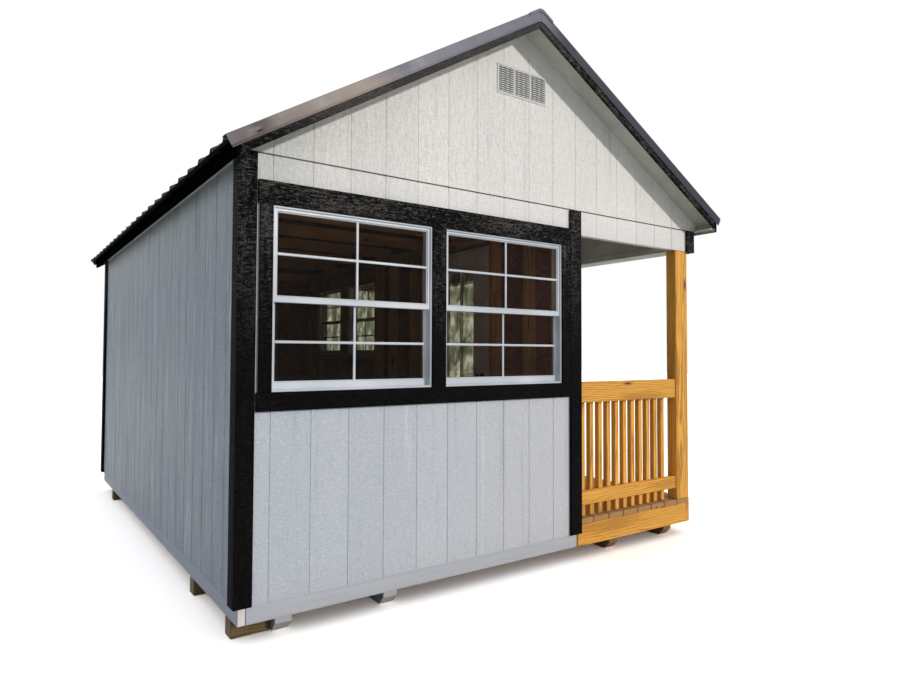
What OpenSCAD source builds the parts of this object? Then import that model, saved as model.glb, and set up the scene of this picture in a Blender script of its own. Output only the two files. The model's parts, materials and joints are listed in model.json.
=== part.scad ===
/* [Shell] */
// Width of the room from the corner boards to the porch side of its wall, mm
room_width = 2219; // [2000:1:3000]
// Length over the end siding, mm
wall_length = 4420; // [3600:4:7400]
// Thickness of the grooved siding panels, mm
siding_thickness = 11; // [8:1:19]
// Thickness of the trim boards, mm
trim_thickness = 19; // [12:1:25]
// Face width of the corner boards, mm
corner_board_width = 89; // [60:1:140]
// Height of the lower edge of the siding above ground, mm
siding_bottom = 178; // [120:1:220]
// Height of the joint between wall and gable siding above the plates, mm
band_lift = 18; // [0:1:40]
// Height of the top plates above ground, mm
plate_height = 2286; // [2250:2:2400]

/* [Floor] */
// Side of the square skids, mm
skid_size = 89; // [70:1:140]
// Distance from wall face to the outer skid centres, mm
skid_outer_offset = 264; // [200:2:400]
// Distance from wall face to the inner skid centres, mm
skid_inner_offset = 853; // [600:2:1200]
// Set-back of the skid ends, mm
skid_setback = 54; // [0:1:150]
// Chamfer at the skid ends, mm
skid_chamfer = 45; // [10:1:80]
// Depth of the floor joists and rims, mm
joist_depth = 140; // [90:1:190]
// Thickness of framing lumber, mm
lumber = 38; // [35:1:45]
// Wanted distance between joists, mm
joist_spacing = 406; // [300:2:610]
// Thickness of the room floor sheet, mm
floor_thickness = 18; // [12:1:25]
// Thickness of the porch deck boards, mm
deck_thickness = 38; // [25:1:45]
// Width of one porch deck board, mm
deck_board_width = 140; // [90:1:190]
// Least gap between deck boards, mm
deck_gap = 5; // [3:1:10]
// Thickness of the support blocks along the wall, mm
block_size = 89; // [60:1:140]
// Gap between the support blocks and the outer skid, mm
block_gap = 4; // [2:1:60]
// Distance from the front to the middle of the first block, mm
block_first_y = 156; // [120:1:400]
// Distance from the front to the middle of the second block, mm
block_second_y = 854; // [600:2:1800]
// Distance from the front to the middle of the rear block, mm
block_rear_y = 3832; // [2400:2:5600]

/* [Porch] */
// Width of the porch from the outer face to the partition, mm
porch_width = 1251; // [1000:2:1500]
// Inset of the porch posts and rim from the outer face, mm
porch_inset = 67; // [20:1:100]
// Face width of the porch posts, mm
post_width = 139; // [89:1:160]
// Depth of the porch posts, mm
post_depth = 89; // [60:1:140]
// Set-back of the posts from the siding plane, mm
post_setback = 3; // [0:1:20]
// Depth of the porch header below the plates, mm
header_depth = 139; // [90:1:240]
// Width of the porch beam, mm
beam_width = 138; // [89:1:180]
// Height of the trim strip inside the header, mm
lining_strip = 50; // [30:1:90]
// Thickness of the sloped porch ceiling, mm
ceiling_thickness = 12; // [8:1:19]
// Height of the top rail above ground at its lower edge, mm
top_rail_bottom = 1029; // [900:1:1100]
// Height of the top rail board, mm
top_rail_height = 139; // [89:1:160]
// Height of the lower rail at its lower edge, mm
low_rail_bottom = 350; // [300:1:450]
// Height of the lower rail board, mm
low_rail_height = 89; // [60:1:140]
// Set-back of the rails from the post face, mm
rail_setback = 12; // [2:1:20]
// Side of a square baluster, mm
baluster_size = 38; // [30:1:45]
// Distance between baluster centres, mm
baluster_pitch = 84; // [80:0.5:120]
// Distance from the corner trim to the first baluster centre, mm
baluster_first = 82; // [60:1:100]
// Height of the baluster tops, mm
baluster_top = 1130; // [1050:1:1160]

/* [Framing] */
// Depth of the wall studs, mm
stud_depth = 89; // [63:1:140]
// Wanted distance between studs, mm
stud_spacing = 406; // [300:2:610]
// Wanted distance between rafters, mm
rafter_spacing = 610; // [400:2:700]
// Vertical height of the rafters, mm
rafter_rise = 74; // [60:1:160]
// Height of the ceiling ties, mm
tie_height = 89; // [63:1:100]

/* [Roof] */
// Angle of the closed side of the roof, degrees
roof_angle = 31.8; // [24:0.1:38]
// Angle of the porch side of the roof, degrees
porch_roof_angle = 29.8; // [24:0.1:38]
// Distance from the plate edge to the rafter seat, mm
seat_cut = 20; // [10:1:40]
// Reach of the rafter tails past the corner boards, mm
tail_reach = 40; // [40:1:120]
// Reach of the metal past the rafter tails, mm
drip_reach = 67; // [30:1:90]
// Reach of the roof past the end siding, mm
rake_reach = 178; // [120:1:260]
// Vertical thickness of the roof decking, mm
decking_rise = 14; // [10:1:20]
// Vertical thickness of the metal sheet, mm
sheet_rise = 5; // [4:1:8]
// Height of the ribs on the metal sheet, mm
rib_rise = 20; // [12:1:30]
// Width of one rib, mm
rib_width = 40; // [25:1:60]
// Wanted distance between ribs, mm
rib_spacing = 211; // [150:0.1:310]
// Distance from the roof's end to the middle of its outer rib, mm
rib_edge = 25; // [20:1:60]
// Thickness of the folded roof trims, mm
flashing_thickness = 4; // [2:0.5:6]
// Vertical height of the rake trim, mm
flashing_drop = 75; // [50:1:110]
// Width of the rake trim on top of the roof, mm
flashing_top = 62; // [45:1:100]
// Half width of the ridge cap, mm
ridge_half = 94; // [70:1:160]
// Half width of the flat on the ridge cap, mm
ridge_flat = 14; // [10:1:50]
// Turn-down of the ridge cap over the rake trims, mm
cap_lip = 16; // [8:1:40]
// Height of the soffit above the rafter underside, mm
soffit_lift = 45; // [20:1:70]
// Thickness of the soffit boards, mm
soffit_thickness = 10; // [6:1:16]
// Height of the fascia on the closed side, mm
fascia_height = 76; // [50:1:140]
// Height of the fascia on the porch side, mm
porch_fascia_height = 102; // [60:1:160]

/* [Windows] */
// Height of a front window, mm
window_height = 899; // [600:1:1100]
// Drop of the window heads below the plates, mm
window_drop = 221; // [190:1:400]
// Strip of siding between the corner board and the window trim, mm
trim_strip = 7; // [5:1:60]
// Face width of the corner board beside the porch, mm
porch_board_width = 98; // [60:1:140]
// Gap between the two front windows, mm
window_mullion = 89; // [60:1:140]
// Width of the trim beside the windows, mm
window_side_trim = 72; // [50:1:76]
// Height of the head trim, mm
head_trim = 113; // [80:1:140]
// Height of the sill trim, mm
sill_trim = 90; // [60:1:140]
// Face width of the window frame, mm
frame_face = 12; // [8:1:40]
// Face width of the sash, mm
sash_face = 18; // [10:1:45]
// Height of the rails where the two sashes meet, mm
meeting_rail = 33; // [20:1:60]
// Height of the bottom rail of the lower sash, mm
bottom_rail = 38; // [20:1:60]
// Depth of the window frame, mm
frame_depth = 82; // [60:1:95]
// Thickness of the window glass, mm
glass_thickness = 5; // [3:1:10]
// Width of a porch-side window, mm
side_window_width = 610; // [400:1:700]
// Height of a porch-side window, mm
side_window_height = 721; // [500:1:900]
// Distance from the back to the last porch-side window centre, mm
side_window_back = 644; // [500:2:900]
// Distance between porch-side window centres, mm
side_window_pitch = 780; // [700:2:1000]
// Width of the gable vents, mm
vent_width = 400; // [200:1:600]
// Height of the gable vents, mm
vent_height = 188; // [100:1:300]
// Drop of the gable vent centre below the roof decking, mm
vent_drop = 367; // [250:1:500]
// Width of the frame round a gable vent, mm
vent_frame = 20; // [12:1:30]

/* [Door] */
// Distance from the front to the door centre, mm
door_centre = 1320; // [900:2:2000]
// Width of the door leaf, mm
door_width = 914; // [700:1:960]
// Space between the door leaf and the top plates, mm
door_head_space = 53; // [40:1:200]
// Thickness of the door leaf, mm
door_thickness = 40; // [35:1:50]
// Gap round the door leaf, mm
door_gap = 3; // [2:0.5:5]
// Gap under the door leaf, mm
door_bottom_gap = 10; // [6:1:20]
// Thickness of the door jambs, mm
jamb = 20; // [15:1:30]
// Width of the door stiles, mm
door_stile = 171; // [110:1:200]
// Height of the top rail of the door, mm
door_top_rail = 133; // [100:1:200]
// Height of the bottom rail of the door, mm
door_bottom_rail = 300; // [200:1:500]
// Height of the knob above the room floor, mm
knob_height = 935; // [850:1:1000]
// Radius of the door knob, mm
knob_radius = 27; // [20:1:32]

/* [Part] */
// Sub-part to show

/* [Hidden] */
wall_width = room_width + porch_width;
hx = wall_width / 2;
hy = wall_length / 2;
sx = hx - trim_thickness;
fx = sx - siding_thickness;
fy = hy - siding_thickness;
kl = tan(roof_angle);
kr = tan(porch_roof_angle);
band_height = plate_height + band_lift;
header_bottom = plate_height - header_depth;
joist_top = skid_size + joist_depth;
floor_top = joist_top + floor_thickness;
deck_top = joist_top + deck_thickness;
px = hx - porch_width;
pf = px - siding_thickness;
pi = pf - stud_depth;
rx = hx - porch_inset;
bx = fx - beam_width;
seat_x = fx - seat_cut;
z_under = plate_height + kl * seat_x;
beam_top = z_under - kr * seat_x;
z_deck = z_under + rafter_rise;
z_sheet = z_deck + decking_rise;
z_top = z_sheet + sheet_rise;
tail_x = hx + tail_reach;
drip_x = tail_x + drip_reach;
ry = hy + rake_reach;
rib_n = round((2 * ry - 2 * rib_edge) / rib_spacing);
rib_pitch = (2 * ry - 2 * rib_edge) / rib_n;
trim_left = -hx + corner_board_width + trim_strip;
trim_right = px + trim_thickness - porch_board_width - 1;
window_width = (trim_right - trim_left - 2 * window_side_trim - window_mullion) / 2;
win_x1 = trim_left + window_side_trim;
win_x2 = win_x1 + window_width + window_mullion;
win_top = plate_height - window_drop;
window_sill = win_top - window_height;
vent_centre = z_deck - vent_drop;
side_sill = win_top - side_window_height;
sw2 = hy - side_window_back;
sw1 = sw2 - side_window_pitch;
dy = -hy + door_centre;
leaf_bottom = floor_top + door_bottom_gap;
leaf_top = plate_height - 2 * lumber - door_head_space;
door_half = door_width / 2 + door_gap;
door_head = leaf_top + door_gap;
leaf_x2 = pi + door_thickness;
post_x = rx - post_width;
stud_n = round((2 * (fy - lumber)) / stud_spacing);
stud_pitch = 2 * (fy - lumber) / stud_n;
rafter_n = round((2 * fy - lumber) / rafter_spacing);
rafter_pitch = (2 * fy - lumber) / rafter_n;
joist_n = round((2 * fy - 3 * lumber) / joist_spacing);
joist_pitch = (2 * fy - 3 * lumber) / joist_n;
deck_n = floor((rx - px) / (deck_board_width + deck_gap));
deck_pitch = (rx - px + deck_gap) / deck_n;
baluster_n = floor((post_x - px - trim_thickness - baluster_first - baluster_size) / baluster_pitch) + 1;
e = 0.5;

// slope of one side
function kk(s) = s < 0 ? kl : kr;

// height of the underside of the rafter tails, which are cut level with the plates or end above them
function tail_z(s) = max(z_under - kk(s) * tail_x, plate_height);

// height of the eave soffit's underside on one side
function soffit_z(s) = tail_z(s) - soffit_thickness;

// box from its two corners
module bx3(x0, y0, z0, x1, y1, z1) {
  translate([x0, y0, z0])
    cube([x1 - x0, y1 - y0, z1 - z0]);
}

// outline in X and Z carried from y0 to y1
module along_y(y0, y1) {
  translate([0, y1, 0])
    rotate([90, 0, 0])
      linear_extrude(height = y1 - y0)
        children();
}

// outline in Y and Z carried from x0 to x1
module along_x(x0, x1) {
  translate([x0, 0, 0])
    rotate([90, 0, 90])
      linear_extrude(height = x1 - x0)
        children();
}

// sloping layer on one side: s side, x0..x1 run, z apex height of its underside, t vertical thickness
module layer(s, x0, x1, z, t) {
  polygon([[s * x0, z - kk(s) * x0], [s * x1, z - kk(s) * x1], [s * x1, z + t - kk(s) * x1],
    [s * x0, z + t - kk(s) * x0]]);
}

module skids() {
  color("#8a6a3e")
    for (x = [skid_outer_offset, skid_inner_offset], s = [-1, 1])
      along_x(s * (hx - x) - skid_size / 2, s * (hx - x) + skid_size / 2)
        polygon([[-hy + skid_setback + skid_chamfer, 0], [hy - skid_setback - skid_chamfer, 0],
          [hy - skid_setback, skid_chamfer], [hy - skid_setback, skid_size],
          [-hy + skid_setback, skid_size], [-hy + skid_setback, skid_chamfer]]);
}

module support_blocks() {
  color("#6d4f35")
    for (y = [block_first_y, block_second_y, block_rear_y])
      bx3(-fx, -hy + y - block_size / 2, 0, skid_outer_offset - hx - skid_size / 2 - block_gap,
        -hy + y + block_size / 2, skid_size);
}

module painted_rim() {
  color("#c9ccd0") {
    bx3(-fx, -fy, skid_size, -fx + lumber, fy, joist_top);
    for (s = [-1, 1])
      bx3(-fx + lumber - e, min(s * fy, s * (fy - lumber)), skid_size, px - 2,
        max(s * fy, s * (fy - lumber)), joist_top);
  }
}

module porch_rim() {
  color("#c58a3f") {
    bx3(rx - lumber, -hy, skid_size, rx, hy, joist_top);
    for (s = [-1, 1])
      bx3(px - 1, min(s * hy, s * (hy - lumber)), skid_size, rx - lumber + e,
        max(s * hy, s * (hy - lumber)), joist_top);
  }
}

module floor_joists() {
  color("#b98f55")
    for (i = [1 : joist_n - 1])
      bx3(-fx + lumber, -fy + lumber + i * joist_pitch - lumber / 2, skid_size, rx - lumber,
        -fy + lumber + i * joist_pitch + lumber / 2, joist_top);
}

module room_floor() {
  color("#b08a5a")
    bx3(-fx, -fy, joist_top, pf, fy, floor_top);
}

module porch_deck() {
  color("#b5854a")
    for (i = [0 : deck_n - 1])
      bx3(px + i * deck_pitch, -hy, joist_top, px + (i + 1) * deck_pitch - deck_gap, hy, deck_top);
}

module bottom_plates() {
  color("#c9a871") {
    bx3(-fx, -fy, floor_top, -fx + stud_depth, fy, floor_top + lumber);
    for (s = [-1, 1])
      bx3(-fx + stud_depth + 1, min(s * fy, s * (fy - stud_depth)), floor_top, pi - 1,
        max(s * fy, s * (fy - stud_depth)), floor_top + lumber);
    bx3(pi, -fy, floor_top, pf, dy - door_half - jamb, floor_top + lumber);
    bx3(pi, dy + door_half + jamb, floor_top, pf, fy, floor_top + lumber);
  }
}

module stud(x0, y0, x1, y1, z1) {
  bx3(x0, y0, floor_top + lumber, x1, y1, z1);
}

// Studs of the long walls stand at even centres, those of the partition leave out its openings
module wall_studs() {
  zt = plate_height - 2 * lumber;
  color("#cfae78") {
    for (i = [0 : stud_n])
      stud(-fx, -fy + i * stud_pitch, -fx + stud_depth, -fy + i * stud_pitch + lumber, zt);
    for (i = [0 : stud_n]) {
      y = -fy + i * stud_pitch;
      if (!(y + lumber + 5 > dy - door_half - jamb && y - 5 < dy + door_half + jamb)
        && !(y + lumber + 5 > sw1 - side_window_width / 2 && y - 5 < sw2 + side_window_width / 2))
        stud(pi, y, pf, y + lumber, zt);
    }
    for (y = [dy - door_half - jamb - lumber, dy + door_half + jamb,
      sw1 - side_window_width / 2 - lumber, sw2 + side_window_width / 2])
      stud(pi, y, pf, y + lumber, zt);
    for (x = [win_x1 - lumber, win_x1 + window_width + (window_mullion - lumber) / 2,
      win_x2 + window_width])
      stud(x, -fy, x + lumber, -fy + stud_depth, zt);
    for (i = [1 : 4])
      stud(-fx + stud_depth + i * (pi + fx - stud_depth) / 5 - lumber / 2, fy - stud_depth,
        -fx + stud_depth + i * (pi + fx - stud_depth) / 5 + lumber / 2, fy, zt);
  }
}

module wall_headers() {
  color("#c8a56c") {
    m = win_x1 + window_width + (window_mullion - lumber) / 2;
    for (x = [[win_x1, m], [m + lumber, win_x2 + window_width]]) {
      bx3(x[0], -fy, window_sill - lumber, x[1], -fy + stud_depth, window_sill);
      bx3(x[0], -fy, win_top, x[1], -fy + stud_depth, win_top + head_trim);
    }
    bx3(pi, sw1 - side_window_width / 2, side_sill - lumber, pf,
      sw2 + side_window_width / 2, side_sill);
    bx3(pi, sw1 - side_window_width / 2, win_top, pf, sw2 + side_window_width / 2,
      win_top + head_trim);
    bx3(pi, sw1 + side_window_width / 2, side_sill + e, pf, sw2 - side_window_width / 2,
      win_top - e);
  }
}

module top_plates() {
  color("#c9a871") {
    bx3(-fx, -fy, plate_height - 2 * lumber, stud_depth - fx, fy, plate_height);
    for (s = [-1, 1])
      bx3(-fx + stud_depth + 1, min(s * fy, s * (fy - stud_depth)), plate_height - 2 * lumber,
        pi - 1, max(s * fy, s * (fy - stud_depth)), plate_height);
    bx3(pi, -fy, plate_height - 2 * lumber, pf, fy, plate_height);
  }
}

module left_siding() {
  color("#aab0b8")
    bx3(-sx, -fy, siding_bottom, -fx, fy, plate_height - 1);
}

module front_siding() {
  color("#c9c9c6")
    difference() {
      bx3(-sx, -hy, siding_bottom, px, -fy, band_height);
      for (x = [win_x1, win_x2])
        bx3(x, -hy - 1, window_sill, x + window_width, -fy + 1, win_top);
    }
}

module back_siding() {
  color("#c9c9c6")
    bx3(-sx, fy, siding_bottom, px, hy, band_height);
}

module partition_siding() {
  color("#c4c5c4")
    difference() {
      bx3(pf, -fy, joist_top, px, fy, z_under - kr * px - 1);
      bx3(pf - 1, dy - door_half - jamb, joist_top - 1, px + 1, dy + door_half + jamb,
        door_head + jamb);
      for (y = [sw1, sw2])
        bx3(pf - 1, y - side_window_width / 2, side_sill, px + 1, y + side_window_width / 2,
          win_top);
    }
}

// foot of a gable on one side, which runs on over the eave soffit to the back of the fascia
function gable_foot(q) = [[q * hx, band_height], [q * hx, tail_z(q)], [q * tail_x, tail_z(q)],
  [q * tail_x, z_deck - kk(q) * tail_x]];

module gable_siding() {
  color("#dcd8d0")
    for (s = [-1, 1])
      difference() {
        along_y(min(s * hy, s * fy), max(s * hy, s * fy))
          polygon(concat(gable_foot(1), [[0, z_deck]], back(gable_foot(-1))));
        bx3(-vent_width / 2 + vent_frame, min(s * hy, s * fy) - 1, vent_centre - vent_height / 2 + vent_frame,
          vent_width / 2 - vent_frame, max(s * hy, s * fy) + 1,
          vent_centre + vent_height / 2 - vent_frame);
      }
}

module header_siding() {
  color("#d4d2cc") {
    for (s = [-1, 1])
      bx3(px + 1, min(s * hy, s * fy), header_bottom, sx, max(s * hy, s * fy), band_height);
    bx3(fx, -fy + 1, header_bottom, sx, fy - 1, z_under - kr * sx - 1);
  }
}

// Grooved lining on the porch side of the long beam, with a plain strip at its foot
module header_lining() {
  color("#a8a695") {
    bx3(bx - siding_thickness, -fy + lumber + 1, header_bottom + lining_strip, bx,
      fy - lumber - 1, z_under - kr * (bx - siding_thickness) - ceiling_thickness - 20);
    bx3(bx - trim_thickness, -fy + lumber + 1, header_bottom, bx, fy - lumber - 1,
      header_bottom + lining_strip - 1);
  }
}

module porch_beam() {
  color("#c9a871") {
    along_y(-fy, fy)
      polygon([[bx, header_bottom], [fx, header_bottom], [fx, z_under - kr * fx],
        [seat_x, beam_top], [bx, beam_top]]);
    for (s = [-1, 1])
      bx3(pf + 1, min(s * fy, s * (fy - lumber)), header_bottom, bx - e,
        max(s * fy, s * (fy - lumber)), beam_top - 3);
  }
}

module ceiling_ties() {
  color("#c4a06a")
    for (i = [0 : rafter_n - 1])
      bx3(-seat_x, -fy + i * rafter_pitch + lumber, plate_height, pf,
        -fy + i * rafter_pitch + 2 * lumber, plate_height + tie_height);
}

// The tails on the closed side are cut level with the top of the plates
module rafters() {
  color("#c4a06a")
    for (i = [0 : rafter_n])
      along_y(-fy + i * rafter_pitch, -fy + i * rafter_pitch + lumber) {
        polygon([[-lumber / 2, z_under - kl * lumber / 2], [-seat_x, plate_height],
          [-tail_x, plate_height], [-tail_x, z_deck - kl * tail_x],
          [-lumber / 2, z_deck - kl * lumber / 2]]);
        layer(1, lumber / 2, tail_x, z_under, rafter_rise);
      }
}

module ridge_board() {
  color("#bf9a62")
    bx3(-lumber / 2, -fy, z_under - 40, lumber / 2, fy, z_deck - max(kl, kr) * lumber / 2 - e);
}

module porch_ceiling() {
  color("#9c9a88")
    along_y(-fy + lumber + 1, fy - lumber - 1)
      layer(1, px, bx, z_under - ceiling_thickness, ceiling_thickness);
}

module roof_decking() {
  color("#a98656")
    for (s = [-1, 1])
      along_y(-ry + trim_thickness, ry - trim_thickness)
        layer(s, 1, tail_x, z_deck, decking_rise);
}

module roof_sheets() {
  color("#2c2b2e")
    for (s = [-1, 1]) {
      along_y(-ry, ry)
        layer(s, 1, drip_x, z_sheet, sheet_rise);
      for (i = [0 : rib_n])
        along_y(-ry + rib_edge + i * rib_pitch - rib_width / 2,
          -ry + rib_edge + i * rib_pitch + rib_width / 2)
          layer(s, 12, drip_x, z_sheet + sheet_rise / 2, rib_rise + sheet_rise / 2);
    }
}

// outline of the cap's top, from one wing over the flat to the other, d above the ribs
function cap_line(d) = [for (p = [[-1, ridge_half], [-1, ridge_flat], [1, ridge_flat],
  [1, ridge_half]]) [p[0] * p[1], z_top + rib_rise + d - kk(p[0]) * p[1]]];

function back(l) = [for (i = [len(l) - 1 : -1 : 0]) l[i]];

// Folded cap with a flat top that rests on the rake trims and turns down over each end
module ridge_cap() {
  t = flashing_thickness;
  color("#3a393d") {
    along_y(-ry - 2 * t, ry + 2 * t)
      polygon(concat(cap_line(t), back(cap_line(2 * t))));
    for (s = [-1, 1])
      along_y(min(s * (ry + t), s * (ry + 2 * t)), max(s * (ry + t), s * (ry + 2 * t)))
        polygon(concat(cap_line(t - cap_lip), back(cap_line(2 * t))));
  }
}

// underside of the cap's flat at one distance from the ridge
function under_flat(x) = z_top + rib_rise + flashing_thickness - (kl + kr) / 2 * ridge_flat
  + (kl - kr) / 2 * x;

// Folded trim whose faces meet under the cap and are cut square to the slope at the eaves
module rake_flashing() {
  zr = z_top + rib_rise;
  t = flashing_thickness;
  x0 = ridge_flat + 6;
  color("#343337")
    for (s = [-1, 1], q = [-1, 1]) {
      x1 = drip_x - flashing_drop * kk(q) / (1 + kk(q) * kk(q));
      along_y(min(s * ry, s * (ry + t - flashing_top)), max(s * ry, s * (ry + t - flashing_top)))
        polygon([[q * x0, zr - kk(q) * x0], [q * drip_x, zr - kk(q) * drip_x],
          [q * drip_x, zr + t - kk(q) * drip_x], [q * x0, zr + t - kk(q) * x0]]);
      along_y(min(s * (ry + t), s * ry), max(s * (ry + t), s * ry))
        polygon([[q * e, under_flat(q * e)], [q * ridge_flat, under_flat(q * ridge_flat)],
          [q * x0, zr + t - kk(q) * x0], [q * drip_x, zr + t - kk(q) * drip_x],
          [q * x1, zr + t - kk(q) * x1 - flashing_drop],
          [q * e, zr + t - kk(q) * e - flashing_drop]]);
    }
}

module rake_boards() {
  color("#2b2724")
    for (s = [-1, 1], q = [-1, 1])
      along_y(min(s * (ry - trim_thickness), s * ry), max(s * (ry - trim_thickness), s * ry))
        layer(q, e, tail_x - 1, z_under, rafter_rise);
}

module eave_fascias() {
  color("#1d1c1f")
    for (q = [-1, 1])
      bx3(min(q * tail_x, q * (tail_x + trim_thickness)), -ry,
        z_deck - kk(q) * tail_x - (q < 0 ? fascia_height : porch_fascia_height),
        max(q * tail_x, q * (tail_x + trim_thickness)), ry, z_deck - kk(q) * tail_x);
}

module rake_soffits() {
  color("#a9ab9f")
    for (s = [-1, 1], q = [-1, 1])
      along_y(min(s * hy, s * (ry - trim_thickness)), max(s * hy, s * (ry - trim_thickness)))
        layer(q, e, min(tail_x, (z_under + soffit_lift - tail_z(q)) / kk(q)),
          z_under + soffit_lift, soffit_thickness);
}

// Each strip runs on past the corner boards to the rakes
module eave_soffits() {
  color("#a9ab9f")
    for (q = [-1, 1]) {
      bx3(min(q * sx, q * tail_x), -hy, soffit_z(q), max(q * sx, q * tail_x), hy, tail_z(q));
      bx3(min(q * (hx + 1), q * tail_x), trim_thickness - ry, soffit_z(q),
        max(q * (hx + 1), q * tail_x), ry - trim_thickness, tail_z(q));
    }
}

// corner board folded round the end of a side wall: q side, s end, z0 foot
module corner(q, s, z0) {
  bx3(min(q * hx, q * (hx - corner_board_width)), min(s * hy, s * (hy + trim_thickness)), z0,
    max(q * hx, q * (hx - corner_board_width)), max(s * hy, s * (hy + trim_thickness)),
    band_height);
  bx3(min(q * hx, q * sx), min(s * (hy + e), s * (hy - corner_board_width + trim_thickness)), z0,
    max(q * hx, q * sx), max(s * (hy + e), s * (hy - corner_board_width + trim_thickness)),
    soffit_z(q));
}

module corner_boards() {
  color("#2b2724")
    for (s = [-1, 1])
      corner(-1, s, siding_bottom);
}

module porch_corner_boards() {
  color("#241f1d")
    for (s = [-1, 1]) {
      corner(1, s, header_bottom - 7);
      bx3(trim_right + 1, min(s * hy, s * (hy + trim_thickness)), siding_bottom,
        px + trim_thickness, max(s * hy, s * (hy + trim_thickness)), band_height);
      bx3(px, min(s * (hy + e), s * (hy - corner_board_width)), deck_top,
        px + trim_thickness, max(s * (hy + e), s * (hy - corner_board_width)), header_bottom - e);
    }
}

module window_trim() {
  color("#232224") {
    difference() {
      bx3(trim_left, -hy - trim_thickness, window_sill - sill_trim, trim_right, -hy, win_top + head_trim);
      for (x = [win_x1, win_x2])
        bx3(x, -hy - trim_thickness - 1, window_sill, x + window_width, -hy + 1, win_top);
    }
    difference() {
      bx3(px, sw1 - side_window_width / 2 - window_side_trim, side_sill - sill_trim,
        px + trim_thickness, sw2 + side_window_width / 2 + window_side_trim, win_top + sill_trim);
      for (y = [sw1, sw2])
        bx3(px - 1, y - side_window_width / 2, side_sill, px + trim_thickness + 1,
          y + side_window_width / 2, win_top);
    }
    difference() {
      bx3(px, dy - door_half - jamb - sill_trim, deck_top, px + trim_thickness,
        dy + door_half + jamb + sill_trim, door_head + jamb + sill_trim);
      bx3(px - 1, dy - door_half - jamb, deck_top - 1, px + trim_thickness + 1,
        dy + door_half + jamb, door_head + jamb);
    }
  }
}

// ring in X and Z: outer size w by h, side faces f, bottom face fb, top face ft, from y0 to y1,
// foot at z0, left edge at x0
module ring(x0, z0, w, h, f, fb, ft, y0, y1) {
  difference() {
    bx3(x0, y0, z0, x0 + w, y1, z0 + h);
    bx3(x0 + f, y0 - 1, z0 + fb, x0 + w - f, y1 + 1, z0 + h - ft);
  }
}

// the front windows as built, and the porch-side ones turned to face the porch
module front_place() {
  for (x = [win_x1, win_x2])
    translate([x, -hy, window_sill])
      children();
}

module side_place() {
  for (y = [sw1, sw2])
    translate([px, y - side_window_width / 2, side_sill])
      rotate([0, 0, 90])
        children();
}

module frame(w, h) {
  ring(0, 0, w, h, frame_face, frame_face, frame_face, -6, frame_depth - 6);
}

module window_frames() {
  color("#e8eaec") {
    front_place()
      frame(window_width, window_height);
    side_place()
      frame(side_window_width, side_window_height);
  }
}

module sash_pair(w, h) {
  f = frame_face;
  m = h / 2;
  r = meeting_rail;
  ring(f, m - r / 2, w - 2 * f, h - f - m + r / 2, sash_face, r, sash_face, 4, 28);
  ring(f, f, w - 2 * f, m + r / 2 - f, sash_face, bottom_rail, r, 30, 54);
}

module window_sashes() {
  color("#eceeef") {
    front_place()
      sash_pair(window_width, window_height);
    side_place()
      sash_pair(side_window_width, side_window_height);
  }
}

module pane_pair(w, h) {
  f = frame_face + sash_face;
  m = h / 2;
  t = glass_thickness / 2;
  bx3(f, 16 - t, m + meeting_rail / 2, w - f, 16 + t, h - f);
  bx3(f, 42 - t, frame_face + bottom_rail, w - f, 42 + t, m - meeting_rail / 2);
}

module window_glass() {
  color([0.1, 0.1, 0.12, 0.6]) {
    front_place()
      pane_pair(window_width, window_height);
    side_place()
      pane_pair(side_window_width, side_window_height);
  }
}

// Flanged vent with three shallow screened fields
module gable_vents() {
  w = (vent_width - 4 * vent_frame) / 3;
  zc = vent_centre;
  color("#d8d6d0")
    for (s = [-1, 1])
      difference() {
        bx3(-vent_width / 2, min(s * hy, s * (hy + 10)), zc - vent_height / 2,
          vent_width / 2, max(s * hy, s * (hy + 10)), zc + vent_height / 2);
        for (i = [0 : 2])
          bx3(-vent_width / 2 + vent_frame + i * (w + vent_frame), min(s * (hy + 6), s * (hy + 11)),
            zc - vent_height / 2 + vent_frame,
            -vent_width / 2 + vent_frame + i * (w + vent_frame) + w,
            max(s * (hy + 6), s * (hy + 11)), zc + vent_height / 2 - vent_frame);
      }
}

module door_frame() {
  color("#e4e2da") {
    difference() {
      bx3(pi, dy - door_half - jamb, floor_top, px, dy + door_half + jamb, door_head + jamb);
      bx3(pi - 1, dy - door_half, floor_top - 1, px + 1, dy + door_half, door_head);
    }
    for (s = [-1, 1])
      bx3(leaf_x2, min(s * (door_half + e), s * (door_half - 12)) + dy, floor_top + e,
        leaf_x2 + 12, max(s * (door_half + e), s * (door_half - 12)) + dy, door_head + e);
    bx3(leaf_x2, dy - door_half - e, door_head - 12, leaf_x2 + 12, dy + door_half + e,
      door_head + e);
  }
}

module door_leaf() {
  color("#d9dadb")
    difference() {
      bx3(pi, dy - door_width / 2, leaf_bottom, leaf_x2, dy + door_width / 2, leaf_top);
      bx3(pi - 1, dy - door_width / 2 + door_stile, leaf_bottom + door_bottom_rail, leaf_x2 + 1,
        dy + door_width / 2 - door_stile, leaf_top - door_top_rail);
    }
}

module door_glass() {
  color([0.1, 0.1, 0.12, 0.6])
    bx3(pi + door_thickness / 2 - 3, dy - door_width / 2 + door_stile,
      leaf_bottom + door_bottom_rail, pi + door_thickness / 2 + 3,
      dy + door_width / 2 - door_stile, leaf_top - door_top_rail);
}

// Knobs on both faces of the leaf
module door_hardware() {
  z = floor_top + knob_height;
  y = dy - door_width / 2 + 60;
  color("#4a4742") {
    for (q = [0, 1])
      translate([q == 0 ? pi - 58 : leaf_x2, y, z])
        rotate([0, 90, 0]) {
          translate([0, 0, q == 0 ? 28 : 0])
            cylinder(h = 30, r = 12, $fn = 24);
          translate([0, 0, q == 0 ? 0 : 29])
            cylinder(h = 29, r = knob_radius, $fn = 32);
        }
  }
}

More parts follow.
